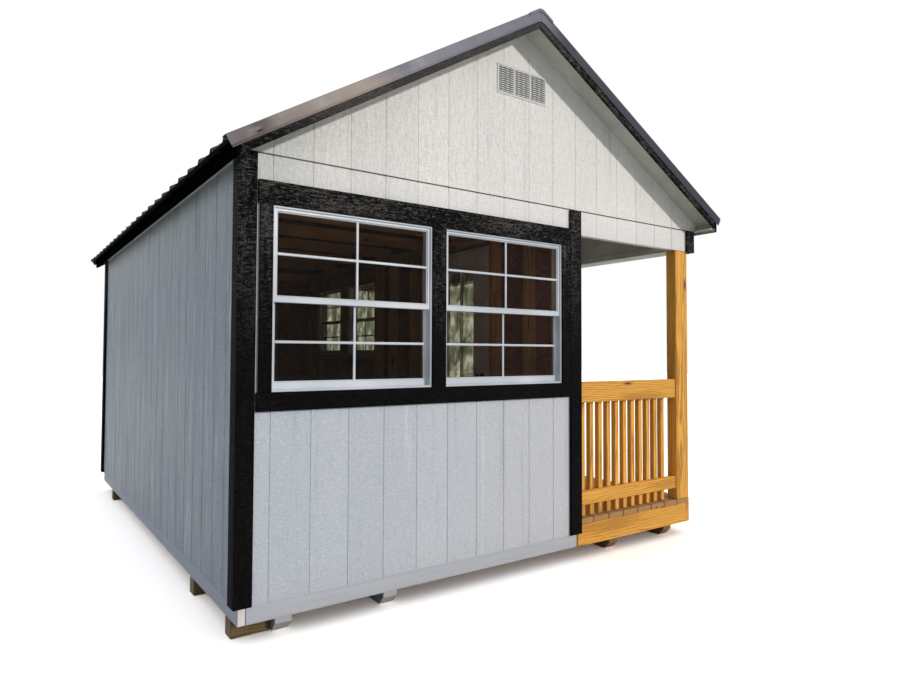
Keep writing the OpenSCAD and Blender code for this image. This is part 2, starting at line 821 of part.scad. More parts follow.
module porch_posts() {
  color("#c98f3e") {
    for (s = [-1, 1])
      bx3(post_x, min(s * (hy - post_setback), s * (hy - post_setback - post_depth)), deck_top, rx,
        max(s * (hy - post_setback), s * (hy - post_setback - post_depth)), header_bottom);
    bx3(post_x, -post_depth / 2, deck_top, rx, post_depth / 2, header_bottom);
  }
}

module porch_rails() {
  r0 = hy - post_setback - rail_setback;
  color("#cf9645")
    for (s = [-1, 1]) {
      bx3(px + trim_thickness, min(s * r0, s * (r0 - lumber)), top_rail_bottom, post_x,
        max(s * r0, s * (r0 - lumber)), top_rail_bottom + top_rail_height);
      bx3(px + trim_thickness, min(s * r0, s * (r0 - lumber)), low_rail_bottom, post_x,
        max(s * r0, s * (r0 - lumber)), low_rail_bottom + low_rail_height);
    }
}

module balusters() {
  r0 = hy - post_setback - rail_setback - lumber;
  color("#c4893c")
    for (s = [-1, 1], i = [0 : baluster_n - 1]) {
      x = px + trim_thickness + baluster_first + i * baluster_pitch;
      bx3(x - baluster_size / 2, min(s * r0, s * (r0 - baluster_size)), deck_top,
        x + baluster_size / 2, max(s * r0, s * (r0 - baluster_size)), baluster_top);
    }
}

skids();
support_blocks();
painted_rim();
porch_rim();
floor_joists();
room_floor();
porch_deck();
bottom_plates();
wall_studs();
wall_headers();
top_plates();
left_siding();
front_siding();
back_siding();
partition_siding();
gable_siding();
header_siding();
header_lining();
porch_beam();
ceiling_ties();
rafters();
ridge_board();
porch_ceiling();
roof_decking();
roof_sheets();
ridge_cap();
rake_flashing();
rake_boards();
eave_fascias();
rake_soffits();
eave_soffits();
corner_boards();
porch_corner_boards();
window_trim();
window_frames();
window_sashes();
window_glass();
gable_vents();
door_frame();
door_leaf();
door_glass();
door_hardware();
porch_posts();
porch_rails();
balusters();
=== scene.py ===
"""Storage shed with porch: skins and finishes of every piece, laid out as an add-on."""

import json
import math

import bpy
import numpy as np
from bpy.props import FloatProperty, FloatVectorProperty, IntProperty, PointerProperty
from mathutils import Matrix, Vector

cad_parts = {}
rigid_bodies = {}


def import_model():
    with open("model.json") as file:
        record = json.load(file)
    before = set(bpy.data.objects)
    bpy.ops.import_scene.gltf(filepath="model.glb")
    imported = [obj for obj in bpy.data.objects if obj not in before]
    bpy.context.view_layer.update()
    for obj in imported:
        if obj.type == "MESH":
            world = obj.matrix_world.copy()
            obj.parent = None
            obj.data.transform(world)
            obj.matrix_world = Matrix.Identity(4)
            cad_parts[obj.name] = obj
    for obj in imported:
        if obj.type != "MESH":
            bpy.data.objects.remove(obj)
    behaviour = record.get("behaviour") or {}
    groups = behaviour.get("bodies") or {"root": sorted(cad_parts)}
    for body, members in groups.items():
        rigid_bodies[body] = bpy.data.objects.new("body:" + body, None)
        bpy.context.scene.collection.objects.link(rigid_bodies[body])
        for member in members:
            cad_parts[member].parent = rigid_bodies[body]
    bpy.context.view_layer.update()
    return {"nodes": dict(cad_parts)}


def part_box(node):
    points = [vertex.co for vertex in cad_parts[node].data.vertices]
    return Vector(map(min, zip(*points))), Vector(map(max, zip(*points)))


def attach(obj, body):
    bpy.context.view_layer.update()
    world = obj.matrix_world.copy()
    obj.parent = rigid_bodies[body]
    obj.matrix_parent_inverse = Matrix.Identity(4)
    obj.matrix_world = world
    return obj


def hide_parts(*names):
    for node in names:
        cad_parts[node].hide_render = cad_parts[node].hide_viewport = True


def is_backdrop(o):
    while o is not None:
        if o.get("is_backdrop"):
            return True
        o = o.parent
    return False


bl_info = {
    "name": "Storage shed with porch",
    "version": (1, 0, 0),
    "blender": (4, 5, 0),
    "location": "View3D > Sidebar > Shed",
    "description": "Dresses the packed shed with siding, trim, roofing, windows and timber",
    "category": "Object",
}

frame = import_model()


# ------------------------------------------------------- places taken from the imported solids


def low(node, axis):
    """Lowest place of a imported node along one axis."""
    return float(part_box(node)[0][axis])


def high(node, axis):
    """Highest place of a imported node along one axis."""
    return float(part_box(node)[1][axis])


def solids(node):
    """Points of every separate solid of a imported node. Triangles that share a point take the
    lowest label among their corners until no label changes."""
    mesh = frame["nodes"][node].data
    points = np.empty(len(mesh.vertices) * 3, np.float32)
    mesh.vertices.foreach_get("co", points)
    corners = np.empty(len(mesh.loops), np.int32)
    mesh.loops.foreach_get("vertex_index", corners)
    points, same = np.unique(np.round(points.reshape(-1, 3), 5), axis=0, return_inverse=True)
    corners = same.ravel()[corners].reshape(-1, 3)
    label = np.arange(len(points))
    while True:
        fresh = label.copy()
        np.minimum.at(fresh, corners.ravel(), np.repeat(label[corners].min(axis=1), 3))
        fresh = fresh[fresh]
        if (fresh == label).all():
            break
        label = fresh
    return [points[label == k] for k in np.unique(label)]


def spans(node):
    """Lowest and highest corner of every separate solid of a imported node."""
    return [(p.min(axis=0), p.max(axis=0)) for p in solids(node)]


def block(lowest, highest):
    """Eight corners of an upright box, indexed by its x, y and z side."""
    lowest, highest = np.asarray(lowest, float), np.asarray(highest, float)
    side = np.stack(np.meshgrid([0, 1], [0, 1], [0, 1], indexing="ij"), axis=-1)
    return lowest + side * (highest - lowest)


def blocks(node):
    """Eight corners of each solid of a node whose solids are boxes or boxes sheared upwards."""
    found = []
    for p in solids(node):
        order = np.lexsort((p[:, 2], np.round(p[:, 1], 3), np.round(p[:, 0], 3)))
        found.append(p[order].reshape(2, 2, 2, 3))
    return found


def roof_fall(side):
    """Fall of one roof side per metre of run, from the rake board on that side."""
    p = next(q for q in solids("rake_boards") if side * q[:, 0].mean() > 0)
    run = np.abs(p[:, 0])
    inner, outer = p[run < run.mean()], p[run > run.mean()]
    return float((inner[:, 2].max() - outer[:, 2].max()) / (run.max() - run.min()))


HALF_WIDTH = -low("corner_boards", 0)
HALF_LENGTH = high("porch_rim", 1)
SIDE_FACE = -low("left_siding", 0)
SIDE_BACK = -high("left_siding", 0)
PANEL = SIDE_FACE - SIDE_BACK
END_BACK = HALF_LENGTH - PANEL
PORCH_WALL = high("front_siding", 0)
TRIM = high("corner_boards", 1) - HALF_LENGTH
FOOT = low("front_siding", 2)
BAND = high("corner_boards", 2)
DECK_PEAK = high("gable_siding", 2)
HEADER = low("header_siding", 2)
ROOF_END = high("roof_sheets", 1)
DRIP = high("roof_sheets", 0)
TAIL = high("rafters", 0)
DECKING = 0.019     # boards between the rafters' line and the roof sheets
SHEET_PEAK = DECK_PEAK + DECKING
RIB = 0.020         # height of the large ribs
FOLD = 0.004        # height of the rake trims over the ribs, and of the ridge cap over the trims
LUMBER = 0.038      # thickness of framing lumber
BOARD = 0.089       # width of the trim boards
NARROW = 0.070      # depth of the trim boards that turn a corner
BITE = 0.0005       # how far one board stands into the next, or short of it
CAP_FLAT = 0.014    # half of the level strip along the ridge cap
FALL = {side: roof_fall(side) for side in (-1, 1)}
SOFFIT_FOOT = {side: min(s[0][2] for s in spans("eave_soffits") if side * s[0][0] > 0)
               for side in (-1, 1)}
SOFFIT_HEAD = {side: max(s[1][2] for s in spans("eave_soffits") if side * s[0][0] > 0)
               for side in (-1, 1)}


def fall_at(x):
    """Drop of the roof below its peak at x: x times the fall of the side it lies on."""
    x = np.asarray(x, float)
    return np.abs(x) * np.where(x < 0, FALL[-1], FALL[1])


def windows(front):
    """Two sides, foot and head of each window frame: along x in the front wall, or along y in the
    porch wall, in rising order."""
    along = 0 if front else 1
    found = [s for s in spans("window_frames") if (s[1][1] < 0) == front]
    return sorted((s[0][along], s[1][along], s[0][2], s[1][2]) for s in found)


FRONT_WINDOWS, PORCH_WINDOWS = windows(True), windows(False)


# ---------------------------------------------------------------- skins


class Skin:
    """Points, faces, finish numbers and grain places of one piece, gathered part by part."""

    def __init__(self):
        self.points, self.grain, self.faces, self.marks = [], [], [], []
        self.count = 0

    def add(self, points, faces, mark=0, grain=None):
        """Adds points and groups of faces. The mark is the number of their finish, or a tuple with
        one number for each group."""
        points = np.asarray(points, float).reshape(-1, 3)
        self.points.append(points)
        self.grain.append(points if grain is None else np.asarray(grain, float).reshape(-1, 3))
        marks = mark if isinstance(mark, tuple) else (mark,) * len(faces)
        for group, number in zip(faces, marks):
            self.faces += (np.asarray(group, int) + self.count).tolist()
            self.marks += [number] * len(group)
        self.count += len(points)


def piece(name, skin, finishes, replaces=(), smooth=False):
    """Makes the mesh object of a skin at the origin, riding on the root body."""
    mesh = bpy.data.meshes.new(name)
    mesh.from_pydata(np.concatenate(skin.points).tolist(), [], skin.faces)
    mesh.polygons.foreach_set("material_index", np.array(skin.marks, np.int32))
    mesh.polygons.foreach_set("use_smooth", np.full(len(skin.faces), smooth))
    grain = mesh.attributes.new("grain", "FLOAT_VECTOR", "POINT")
    grain.data.foreach_set("vector", np.concatenate(skin.grain).astype(np.float32).ravel())
    for material in finishes:
        mesh.materials.append(material)
    mesh.update()
    made = bpy.data.objects.new(name, mesh)
    bpy.context.scene.collection.objects.link(made)
    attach(made, "root")
    if replaces:
        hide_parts(*replaces)
    return made


def outward(points, groups):
    """Turns the faces of a closed skin over when its volume, the sum of p0 . (p1 x p2) / 6 over
    the triangles of its faces, comes out below nought."""
    volume = 0.0
    for g in groups:
        for k in range(1, g.shape[1] - 1):
            a, b, c = points[g[:, 0]], points[g[:, k]], points[g[:, k + 1]]
            volume += np.einsum("ij,ij->", a, np.cross(b, c))
    return groups if volume > 0 else [g[:, ::-1] for g in groups]


def shell(face, back, keep=None):
    """Closed skin between two grids of points P(i, j) and Q(i, j): the kept cells of both grids,
    and a wall of quads along every edge that has a kept cell on one side only."""
    rows, cols = face.shape[:2]
    number = np.arange(rows * cols).reshape(rows, cols)
    keep = np.ones((rows - 1, cols - 1), bool) if keep is None else keep
    a, b = number[:-1, :-1][keep], number[:-1, 1:][keep]
    c, d = number[1:, 1:][keep], number[1:, :-1][keep]
    top = np.stack([a, b, c, d], axis=1)
    n = rows * cols
    padded = np.pad(keep, 1)
    walls = []
    for edge, beyond in (((a, b), padded[:-2, 1:-1][keep]), ((b, c), padded[1:-1, 2:][keep]),
                         ((c, d), padded[2:, 1:-1][keep]), ((d, a), padded[1:-1, :-2][keep])):
        open_edge = ~beyond
        p, q = edge[0][open_edge], edge[1][open_edge]
        walls.append(np.stack([q, p, p + n, q + n], axis=1))
    points = np.concatenate([face.reshape(-1, 3), back.reshape(-1, 3)])
    groups = outward(points, [top, top[:, ::-1] + n, np.concatenate(walls)])
    return points, groups


def belts(number):
    """Quads between each closed ring of point numbers and the next ring."""
    ahead = np.roll(number, -1, axis=-1)
    return np.stack([number[..., :-1, :], ahead[..., :-1, :], ahead[..., 1:, :],
                     number[..., 1:, :]], axis=-1).reshape(-1, 4)


def tube(rings, looped=False):
    """Closed skin of a profile carried along a path: P(i, j) with j round the closed profile and
    i along the path, which ends in two flat caps or, when looped, joins itself."""
    rows, cols = rings.shape[:2]
    number = np.arange(rows * cols).reshape(rows, cols)
    if looped:
        groups = [belts(np.concatenate([number, number[:1]]))]
    else:
        groups = [belts(number), number[:1, ::-1], number[-1:]]
    points = rings.reshape(-1, 3)
    return points, outward(points, groups)


def bars(skin, corner_blocks, edge=0.003, seed=1, mark=0):
    """Adds boards with chamfered edges. A block's corners give the place P(a, b, c), linear in
    each of a, b and c from 0 to 1, with a along the board. Four rings of eight points run round
    it at a = 0, e, 1 - e and 1, and the two outer rings lie one chamfer further in. The grain
    place is (a, b, c) in metres from a pith line beside the board."""
    corner = np.asarray(corner_blocks, float).reshape(-1, 2, 2, 2, 3)
    n = len(corner)
    beside = (corner[:, 1, 0, 0], corner[:, 0, 1, 0], corner[:, 0, 0, 1])
    size = np.stack([np.linalg.norm(c - corner[:, 0, 0, 0], axis=1) for c in beside], axis=1)
    axis = size.argmax(axis=1)
    pick = axis[:, None, None, None, None]
    corner = np.where(pick == 0, corner, np.where(pick == 1, corner.transpose(0, 2, 3, 1, 4),
                                                  corner.transpose(0, 3, 1, 2, 4)))
    size = np.take_along_axis(size, (axis[:, None] + np.arange(3)) % 3, axis=1)
    e = np.minimum(edge / size, 0.3)
    a = np.stack([0 * e[:, 0], e[:, 0], 1 - e[:, 0], 0 * e[:, 0] + 1], axis=1)[:, :, None]
    outer_ring = np.array([1, 0, 0, 1])[:, None]
    across = []
    for k, side, step in ((1, [0, 1, 1, 1, 1, 0, 0, 0], [1, -1, 0, 0, -1, 1, 0, 0]),
                          (2, [0, 0, 0, 1, 1, 1, 1, 0], [0, 0, 1, -1, 0, 0, -1, 1])):
        side, step = np.array(side), np.array(step)
        inwards = step + outer_ring * np.where(side > 0, -1, 1)
        across.append(side + e[:, k, None, None] * inwards)
    a, b, c = np.broadcast_arrays(a, *across)
    place = sum(((a if i else 1 - a) * (b if j else 1 - b) * (c if k else 1 - c))[..., None]
                * corner[:, None, None, i, j, k] for i in (0, 1) for j in (0, 1) for k in (0, 1))
    chance = np.random.default_rng(seed)
    away = chance.uniform(0.01, 0.07, n) * chance.choice([-1, 1], n)
    pith = np.stack([-chance.uniform(0, 40, n), chance.uniform(-0.1, 1.1, n) * size[:, 1],
                     np.where(away > 0, size[:, 2] + away, away)], axis=1)
    grain = np.stack([a, b, c], axis=-1) * size[:, None, None, :] - pith[:, None, None, :]
    number = np.arange(n * 32).reshape(n, 4, 8)
    skin.add(place, [belts(number), number[:, 0, ::-1], number[:, 3]], mark, grain)


def mitred(skin, box, rails, profile, stand):
    """Adds a frame mitred at its corners, with rails of their own widths at the left, right, foot
    and head: a profile point (f, o, d) lies f widths and o inwards from the outer rectangle and d
    outwards from the wall, and stand(u, z, d) turns it into a place."""
    u0, u1, z0, z1 = box
    f, o, d = np.asarray(profile, float).T
    left, right, foot, head = (f * w + o for w in rails)
    u = np.stack([u0 + left, u1 - right, u1 - right, u0 + left])
    z = np.stack([z0 + foot, z0 + foot, z1 - head, z1 - head])
    skin.add(*tube(stand(u, z, d), looped=True))


def rounded_ring(skin, box, profile, stand):
    """Adds a mitred frame of one width from profile points (o, d)."""
    mitred(skin, box, (0, 0, 0, 0), [(0, o, d) for o, d in profile], stand)


def plane(axis, level, out):
    """Stand on an upright wall plane at a level of x (axis 0) or y (axis 1): a function that turns
    u along the wall, the height z and d outwards, in the direction of out, into a place."""

    def stand(u, z, d):
        away = level + out * np.asarray(d)
        return np.stack(np.broadcast_arrays(*((u, away, z) if axis else (away, u, z))), axis=-1)

    return stand


on_front, on_back = ENDS = plane(1, -HALF_LENGTH, -1), plane(1, HALF_LENGTH, 1)
on_left = plane(0, -SIDE_FACE, -1)
on_porch_wall = plane(0, PORCH_WALL, 1)
on_porch_header = plane(0, SIDE_FACE, 1)


def standing(rectangle, along, depth):
    """Box on a rectangle (u0, u1, z0, z1) of a wall that runs along x (0) or y (1), between the two
    depths."""
    u0, u1, z0, z1 = rectangle
    near, far = depth
    if along:
        return block((near, u0, z0), (far, u1, z1))
    return block((u0, near, z0), (u1, far, z1))


def timbers(name, node, material, edge, seed):
    """Piece that gives each solid of a node chamfered edges."""
    skin = Skin()
    bars(skin, blocks(node), edge, seed)
    piece(name, skin, [material], [node])


# ---------------------------------------------------------------- finishes


WHITE = (1.0, 1.0, 1.0)


def rgb(code):
    """Linear colour of a six-digit code: ((v + 0.055) / 1.055) ^ 2.4 for each channel v from 0 to
    1, and v / 12.92 where v is below 0.04."""
    v = np.array([int(code[i:i + 2], 16) / 255 for i in (0, 2, 4)])
    return tuple(float(c) for c in np.where(v > 0.04045, ((v + 0.055) / 1.055) ** 2.4, v / 12.92))


class Tree:
    """Nodes of a material or a world."""

    def __init__(self, owner):
        owner.use_nodes = True
        self.nodes, self.links = owner.node_tree.nodes, owner.node_tree.links
        self.nodes.clear()

    def put(self, socket, value):
        """Links the socket to another one, or sets its value."""
        if isinstance(value, bpy.types.NodeSocket):
            self.links.new(value, socket)
        elif socket.type == "RGBA":
            socket.default_value = (value[0], value[1], value[2], 1.0)
        else:
            socket.default_value = value

    def add(self, kind, values, **settings):
        node = self.nodes.new("ShaderNode" + kind)
        for key, value in settings.items():
            setattr(node, key, value)
        for key, value in values.items():
            self.put(node.inputs[key], value)
        return node

    def do(self, operation, a, b=0.0, c=0.0):
        return self.add("Math", {0: a, 1: b, 2: c}, operation=operation).outputs[0]

    def blend(self, a, share_a, b, share_b):
        """a times its share plus b times its share."""
        return self.do("MULTIPLY_ADD", a, share_a, self.do("MULTIPLY", b, share_b))

    def seen(self):
        """1 for rays from the camera and for those that mirrors and glass send on, 0 for light."""
        path = self.add("LightPath", {}).outputs
        beyond = self.do("MAXIMUM", path["Is Glossy Ray"], path["Is Transmission Ray"])
        return self.do("MAXIMUM", path["Is Camera Ray"], beyond)


class Finish(Tree):
    """Node tree of one finish, built from patterns to shader."""

    def __init__(self, name):
        self.material = bpy.data.materials.new(name)
        super().__init__(self.material)
        self.shader = self.add("BsdfPrincipled", {})
        self.out = self.add("OutputMaterial", {"Surface": self.shader.outputs["BSDF"]})
        self.place = self.add("TexCoord", {}).outputs["Object"]

    def surface(self, **values):
        """Sets sockets of the shader, with each name's underscores as spaces."""
        for key, value in values.items():
            self.put(self.shader.inputs[key.replace("_", " ")], value)

    def on_walls(self):
        """Flat place on the upright walls: x + y along them, nothing across, and the height z."""
        x, y, z = self.axes(self.place)
        return x, y, z, self.vector(self.do("ADD", x, y), 0.0, z)

    def grain(self):
        """Place in the board, measured along and across its grain."""
        return self.add("Attribute", {}, attribute_name="grain").outputs["Vector"]

    def facing(self):
        """Three parts of the face's direction."""
        return self.axes(self.add("NewGeometry", {}).outputs["Normal"])

    def axes(self, vector):
        parts = self.add("SeparateXYZ", {"Vector": vector}).outputs
        return parts["X"], parts["Y"], parts["Z"]

    def vector(self, x, y, z):
        return self.add("CombineXYZ", {"X": x, "Y": y, "Z": z}).outputs["Vector"]

    def times(self, vector, scale):
        return self.add("VectorMath", {0: vector, 1: scale}, operation="MULTIPLY").outputs[0]

    def noise(self, vector, scale, detail=3.0, rough=0.55, twist=0.0):
        """Fractal noise of the vector times the scale."""
        values = {"Vector": self.times(vector, scale), "Scale": 1.0, "Detail": detail,
                  "Roughness": rough, "Distortion": twist}
        return self.add("TexNoise", values).outputs["Fac"]

    def cells(self, vector, scale, feature="F1"):
        """Distance from the vector times the scale to the nearest of its scattered points."""
        values = {"Vector": self.times(vector, scale), "Scale": 1.0}
        return self.add("TexVoronoi", values, feature=feature).outputs["Distance"]

    def grade(self, value, start, end, a=0.0, b=1.0):
        """a at start, b at end, and a smooth step between them."""
        values = {"Value": value, "From Min": start, "From Max": end, "To Min": a, "To Max": b}
        return self.add("MapRange", values, interpolation_type="SMOOTHSTEP").outputs["Result"]

    def mix(self, fac, a, b, blend="MIX"):
        node = self.add("Mix", {}, data_type="RGBA", blend_type=blend)
        self.put(node.inputs[0], fac)
        self.put(node.inputs[6], a)
        self.put(node.inputs[7], b)
        return node.outputs[2]

    def darken(self, fac, tone, colour):
        """The tone, multiplied by the colour as far as fac says."""
        return self.mix(fac, tone, colour, "MULTIPLY")

    def shades(self, fac, *stops):
        """Colour ramp through (place, colour) stops."""
        node = self.add("ValToRGB", {"Fac": fac})
        line = node.color_ramp.elements
        while len(line) < len(stops):
            line.new(0.5)
        for element, (place, colour) in zip(line, stops):
            element.position = place
            element.color = (*colour, 1.0)
        return node.outputs["Color"]

    def bump(self, height, depth, under=None):
        values = {"Strength": 1.0, "Distance": depth, "Height": height}
        if under is not None:
            values["Normal"] = under
        return self.add("Bump", values).outputs["Normal"]


def siding_finish(look):
    """Paint on embossed panels: ripples 2 to 6 cm long as bump, streaks that run down the panels,
    each board between two grooves a little lighter or darker, a cooler, darker foot that is painted
    shade and lightens towards the porch, a paler, warmer gable that is painted sunlight and darker
    towards its left foot, a darker, bluer long wall in painted shade, and close light and dark
    streaks on the long wall."""
    f = Finish("siding_paint")
    x, y, z, skin = f.on_walls()
    streak = f.noise(skin, (9.0, 1.0, 0.45), 5.0, 0.62)
    fine = f.noise(skin, (10.0, 1.0, 1.1), 5.0, 0.68)
    hair = f.noise(skin, (19.0, 1.0, 1.5), 5.0, 0.68)
    speck = f.noise(skin, (62.0, 1.0, 125.0), 2.0, 0.6, 0.8)
    cloud = f.noise(skin, (1.6, 1.0, 0.9), 2.0)
    ripple = f.noise(skin, (44.0, 1.0, 20.0), 4.0, 0.68, 1.1)
    comb = f.noise(skin, (17.0, 1.0, 105.0), 3.0, 0.6, 0.7)
    left = f.do("LESS_THAN", x, -SIDE_BACK + 0.0005)
    front = f.do("SUBTRACT", 1.0, left)
    run = f.do("SUBTRACT", f.do("MULTIPLY", front, f.do("SUBTRACT", x, look.start)),
               f.do("MULTIPLY", left, y))
    board = f.do("FLOOR", f.do("DIVIDE", run, look.pitch))
    number = f.add("TexWhiteNoise", {"W": board}, noise_dimensions="1D").outputs["Value"]
    # painted sunlight: above about 1.9 m the sunlit gable tone takes over from the shaded foot
    sunlit_high_up = f.grade(z, 1.9, 2.32)
    drift = f.do("ADD", x, f.do("MULTIPLY", cloud, 0.9))
    # painted shade on the lower front wall, lighter towards the porch where painted sunlight
    # reaches
    lower = f.mix(f.grade(drift, -1.2, 1.0), look.lower, look.lower_right)
    # the gable's painted sunlight, darker towards its left foot
    drift = f.do("ADD", x, f.do("MULTIPLY", cloud, 0.8))
    upper = f.mix(f.grade(drift, -1.6, -0.2), look.upper_left, look.upper)
    tone = f.mix(sunlit_high_up, lower, upper)
    # painted shade on the long side wall: darker and bluer, lighter and greener under the eave
    beside = f.mix(f.grade(z, 1.75, 2.25), look.side, look.side_top)
    tone = f.mix(left, tone, beside)
    tone = f.darken(f.grade(number, 0.1, 0.9, 0.0, 0.5), tone, (0.90, 0.91, 0.92))
    tone = f.darken(f.grade(streak, 0.44, 0.30), tone, (0.80, 0.82, 0.84))
    pale = f.do("MULTIPLY", f.grade(streak, 0.60, 0.76), f.do("MULTIPLY_ADD", left, 0.15, 0.45))
    tone = f.mix(pale, tone, (0.86, 0.87, 0.87))
    tone = f.darken(f.do("MULTIPLY", left, f.grade(fine, 0.50, 0.36)), tone, (0.46, 0.49, 0.53))
    pale = f.do("MULTIPLY", left, f.grade(hair, 0.54, 0.66, 0.0, 0.48))
    tone = f.mix(pale, tone, (0.58, 0.62, 0.67))
    tone = f.mix(f.grade(speck, 0.54, 0.70, 0.0, 0.22), tone, (0.95, 0.95, 0.94))
    tone = f.darken(f.grade(speck, 0.46, 0.30, 0.0, 0.50), tone, (0.80, 0.81, 0.82))
    tone = f.darken(f.grade(ripple, 0.46, 0.28, 0.0, 0.55), tone, (0.82, 0.83, 0.84))
    tone = f.darken(f.grade(z, 0.36, 0.15, 0.0, 0.25), tone, (0.85, 0.80, 0.72))
    height = f.blend(ripple, 0.7, comb, 0.35)
    height = f.do("MULTIPLY", height, f.grade(z, 1.9, 2.5, 0.40, 1.0))
    f.surface(Base_Color=tone, Roughness=f.grade(fine, 0.3, 0.7, 0.42, 0.60), IOR=1.46,
              Normal=f.bump(height, look.emboss))
    return f.material


def panel_back_finish():
    """Raw strands on the room side of the panels: cells stretched both ways in two browns."""
    f = Finish("panel_back")
    skin = f.on_walls()[3]
    strand = f.cells(skin, (22.0, 1.0, 60.0))
    patch = f.noise(skin, (14.0, 1.0, 30.0), 4.0, 0.6, 0.6)
    tone = f.shades(f.blend(strand, 0.5, patch, 0.6),
                    (0.2, rgb("5c3626")), (0.5, rgb("7c4c34")), (0.8, rgb("946444")))
    f.surface(Base_Color=tone, Roughness=0.75, Normal=f.bump(patch, 0.001))
    return f.material


def stain_finish(look):
    """Black stain on rough boards: level crinkles 1 cm high, streaks along the grain, ridges in a
    grey painted highlight that shows higher up, where more light falls, and a paler slope at the
    top left in the same painted highlight."""
    f = Finish("black_stain")
    g = f.grain()
    x, _, z, skin = f.on_walls()
    crinkle = f.noise(skin, (34.0, 1.0, 128.0), 4.0, 0.66, 1.2)
    streak = f.noise(g, (9.0, 85.0, 85.0), 5.0, 0.66, 1.2)
    patch = f.noise(g, (2.2, 10.0, 10.0), 2.0)
    rough = f.blend(crinkle, 0.7, streak, 0.3)
    black = f.shades(rough, (0.38, look.dark), (0.52, look.stain), (0.68, look.worn))
    # raised spots take the highlight colour, more of it higher up: a painted highlight
    raised = f.grade(f.do("MULTIPLY_ADD", patch, 0.2, rough), 0.58, 0.70)
    lit = f.do("MULTIPLY", raised, f.grade(z, 1.2, 2.3, 0.03, 0.85))
    # the left slope near the top is mixed towards the same colour: a painted highlight
    slope = f.do("MULTIPLY", f.grade(z, 2.30, 2.60, 0.0, 0.45), f.grade(x, 0.25, 0.0))
    black = f.mix(slope, black, look.highlight)
    f.surface(Base_Color=f.mix(lit, black, look.highlight),
              Roughness=f.grade(rough, 0.35, 0.65, 0.60, 0.85), Specular_IOR_Level=0.03,
              Normal=f.bump(rough, look.saw_depth))
    return f.material


def timber_finish(name, light, dark, knot, ring=0.012, wear=0.0, shade=(0.5, 0.45, 0.4), turn=None):
    """Sawn timber: rings of equal width round a pith line beside the board, bent by slow noise,
    fibres along it, knots as stretched cells, and worn grey on faces that look up. The grain runs
    by each board's own place or, when a turn is given, along the axis that it brings to x."""
    f = Finish(name)
    if turn is None:
        g = f.grain()
    else:
        g = f.add("Mapping", {"Vector": f.place, "Rotation": turn}).outputs[0]
    a, b, c = f.axes(g)
    bend = f.noise(g, (1.3, 16.0, 16.0), 3.0, 0.55)
    reach = f.do("SQRT", f.do("ADD", f.do("MULTIPLY", b, b), f.do("MULTIPLY", c, c)))
    reach = f.do("MULTIPLY_ADD", bend, 0.055, reach)
    rings = f.do("PINGPONG", f.do("DIVIDE", reach, ring), 0.5)
    fibre = f.noise(g, (7.0, 240.0, 240.0), 4.0, 0.6, 0.3)
    patch = f.noise(g, (0.9, 8.0, 8.0), 3.0, 0.5)
    tone = f.mix(f.grade(rings, 0.18, 0.5, 0.0, 0.75), light, dark)
    tone = f.darken(f.grade(fibre, 0.5, 0.30, 0.0, 0.55), tone, shade)
    tone = f.mix(f.grade(patch, 0.46, 0.30, 0.0, 0.5), tone, dark)
    tone = f.mix(f.grade(patch, 0.56, 0.74, 0.0, 0.45), tone, light)
    knots = f.cells(f.vector(a, f.do("MULTIPLY_ADD", bend, 0.02, b), c), (2.1, 9.0, 9.0))
    tone = f.mix(f.grade(knots, 0.17, 0.10, 0.0, 0.55), tone, dark)
    tone = f.mix(f.grade(knots, 0.10, 0.055), tone, knot)
    if wear:
        up = f.facing()[2]
        tone = f.mix(f.do("MULTIPLY", f.grade(up, 0.5, 0.9), wear), tone, rgb("8c7460"))
    height = f.blend(fibre, 0.5, rings, 0.25)
    f.surface(Base_Color=tone, Roughness=f.grade(fibre, 0.3, 0.7, 0.52, 0.72),
              Specular_IOR_Level=0.25, Normal=f.bump(height, 0.0012))
    return f.material


def painted_timber_finish(look, name="painted_timber", cast=(1.0, 1.0, 1.0)):
    """Siding paint on lumber in the lower wall's tones, which hold painted shade, cooler and darker
    where it faces the long side as painted shade, with dust near the ground, all of it tinted by
    the cast."""
    f = Finish(name)
    g = f.grain()
    z = f.axes(f.place)[2]
    # faces towards the long side, which get painted shade
    side = f.do("LESS_THAN", f.facing()[0], -0.7)
    streak = f.noise(g, (2.5, 40.0, 40.0), 4.0, 0.6)
    fleck = f.noise(g, (30.0, 60.0, 60.0), 3.0, 0.6)
    tone = f.mix(f.grade(streak, 0.3, 0.7), look.lower, look.lower_right)
    tone = f.mix(f.grade(fleck, 0.62, 0.78, 0.0, 0.6), tone, (0.78, 0.77, 0.74))
    tone = f.darken(f.grade(z, 0.17, 0.05, 0.0, 0.40), tone, (0.80, 0.74, 0.64))
    # painted shade on the faces towards the long side
    tone = f.darken(side, tone, (0.60, 0.66, 0.78))
    tone = f.darken(1.0, tone, cast)
    f.surface(Base_Color=tone, Roughness=0.55, Normal=f.bump(f.do("ADD", streak, fleck), 0.0012))
    return f.material


def metal_finish(name, base, cool, warm, rough, reflect=0.6):
    """Baked paint on folded steel: long soft patches between a cool and a warm tone, fine orange
    peel, and dust that changes the gloss."""
    f = Finish(name)
    patch = f.noise(f.place, (1.7, 1.7, 1.7), 3.0, 0.6, 0.6)
    blot = f.noise(f.place, (7.0, 7.0, 7.0), 4.0, 0.62, 0.4)
    peel = f.noise(f.place, (240.0, 240.0, 240.0), 2.0)
    drift = f.noise(f.place, (2.2, 2.2, 9.0), 3.0, 0.5)
    both = f.blend(patch, 0.7, blot, 0.3)
    tone = f.shades(both, (0.36, base), (0.49, cool), (0.60, warm))
    f.surface(Base_Color=tone, Metallic=reflect,
              Roughness=f.grade(blot, 0.3, 0.7, rough * 0.8, rough * 1.25),
              Normal=f.bump(drift, 0.004, f.bump(peel, 0.0001)))
    return f.material


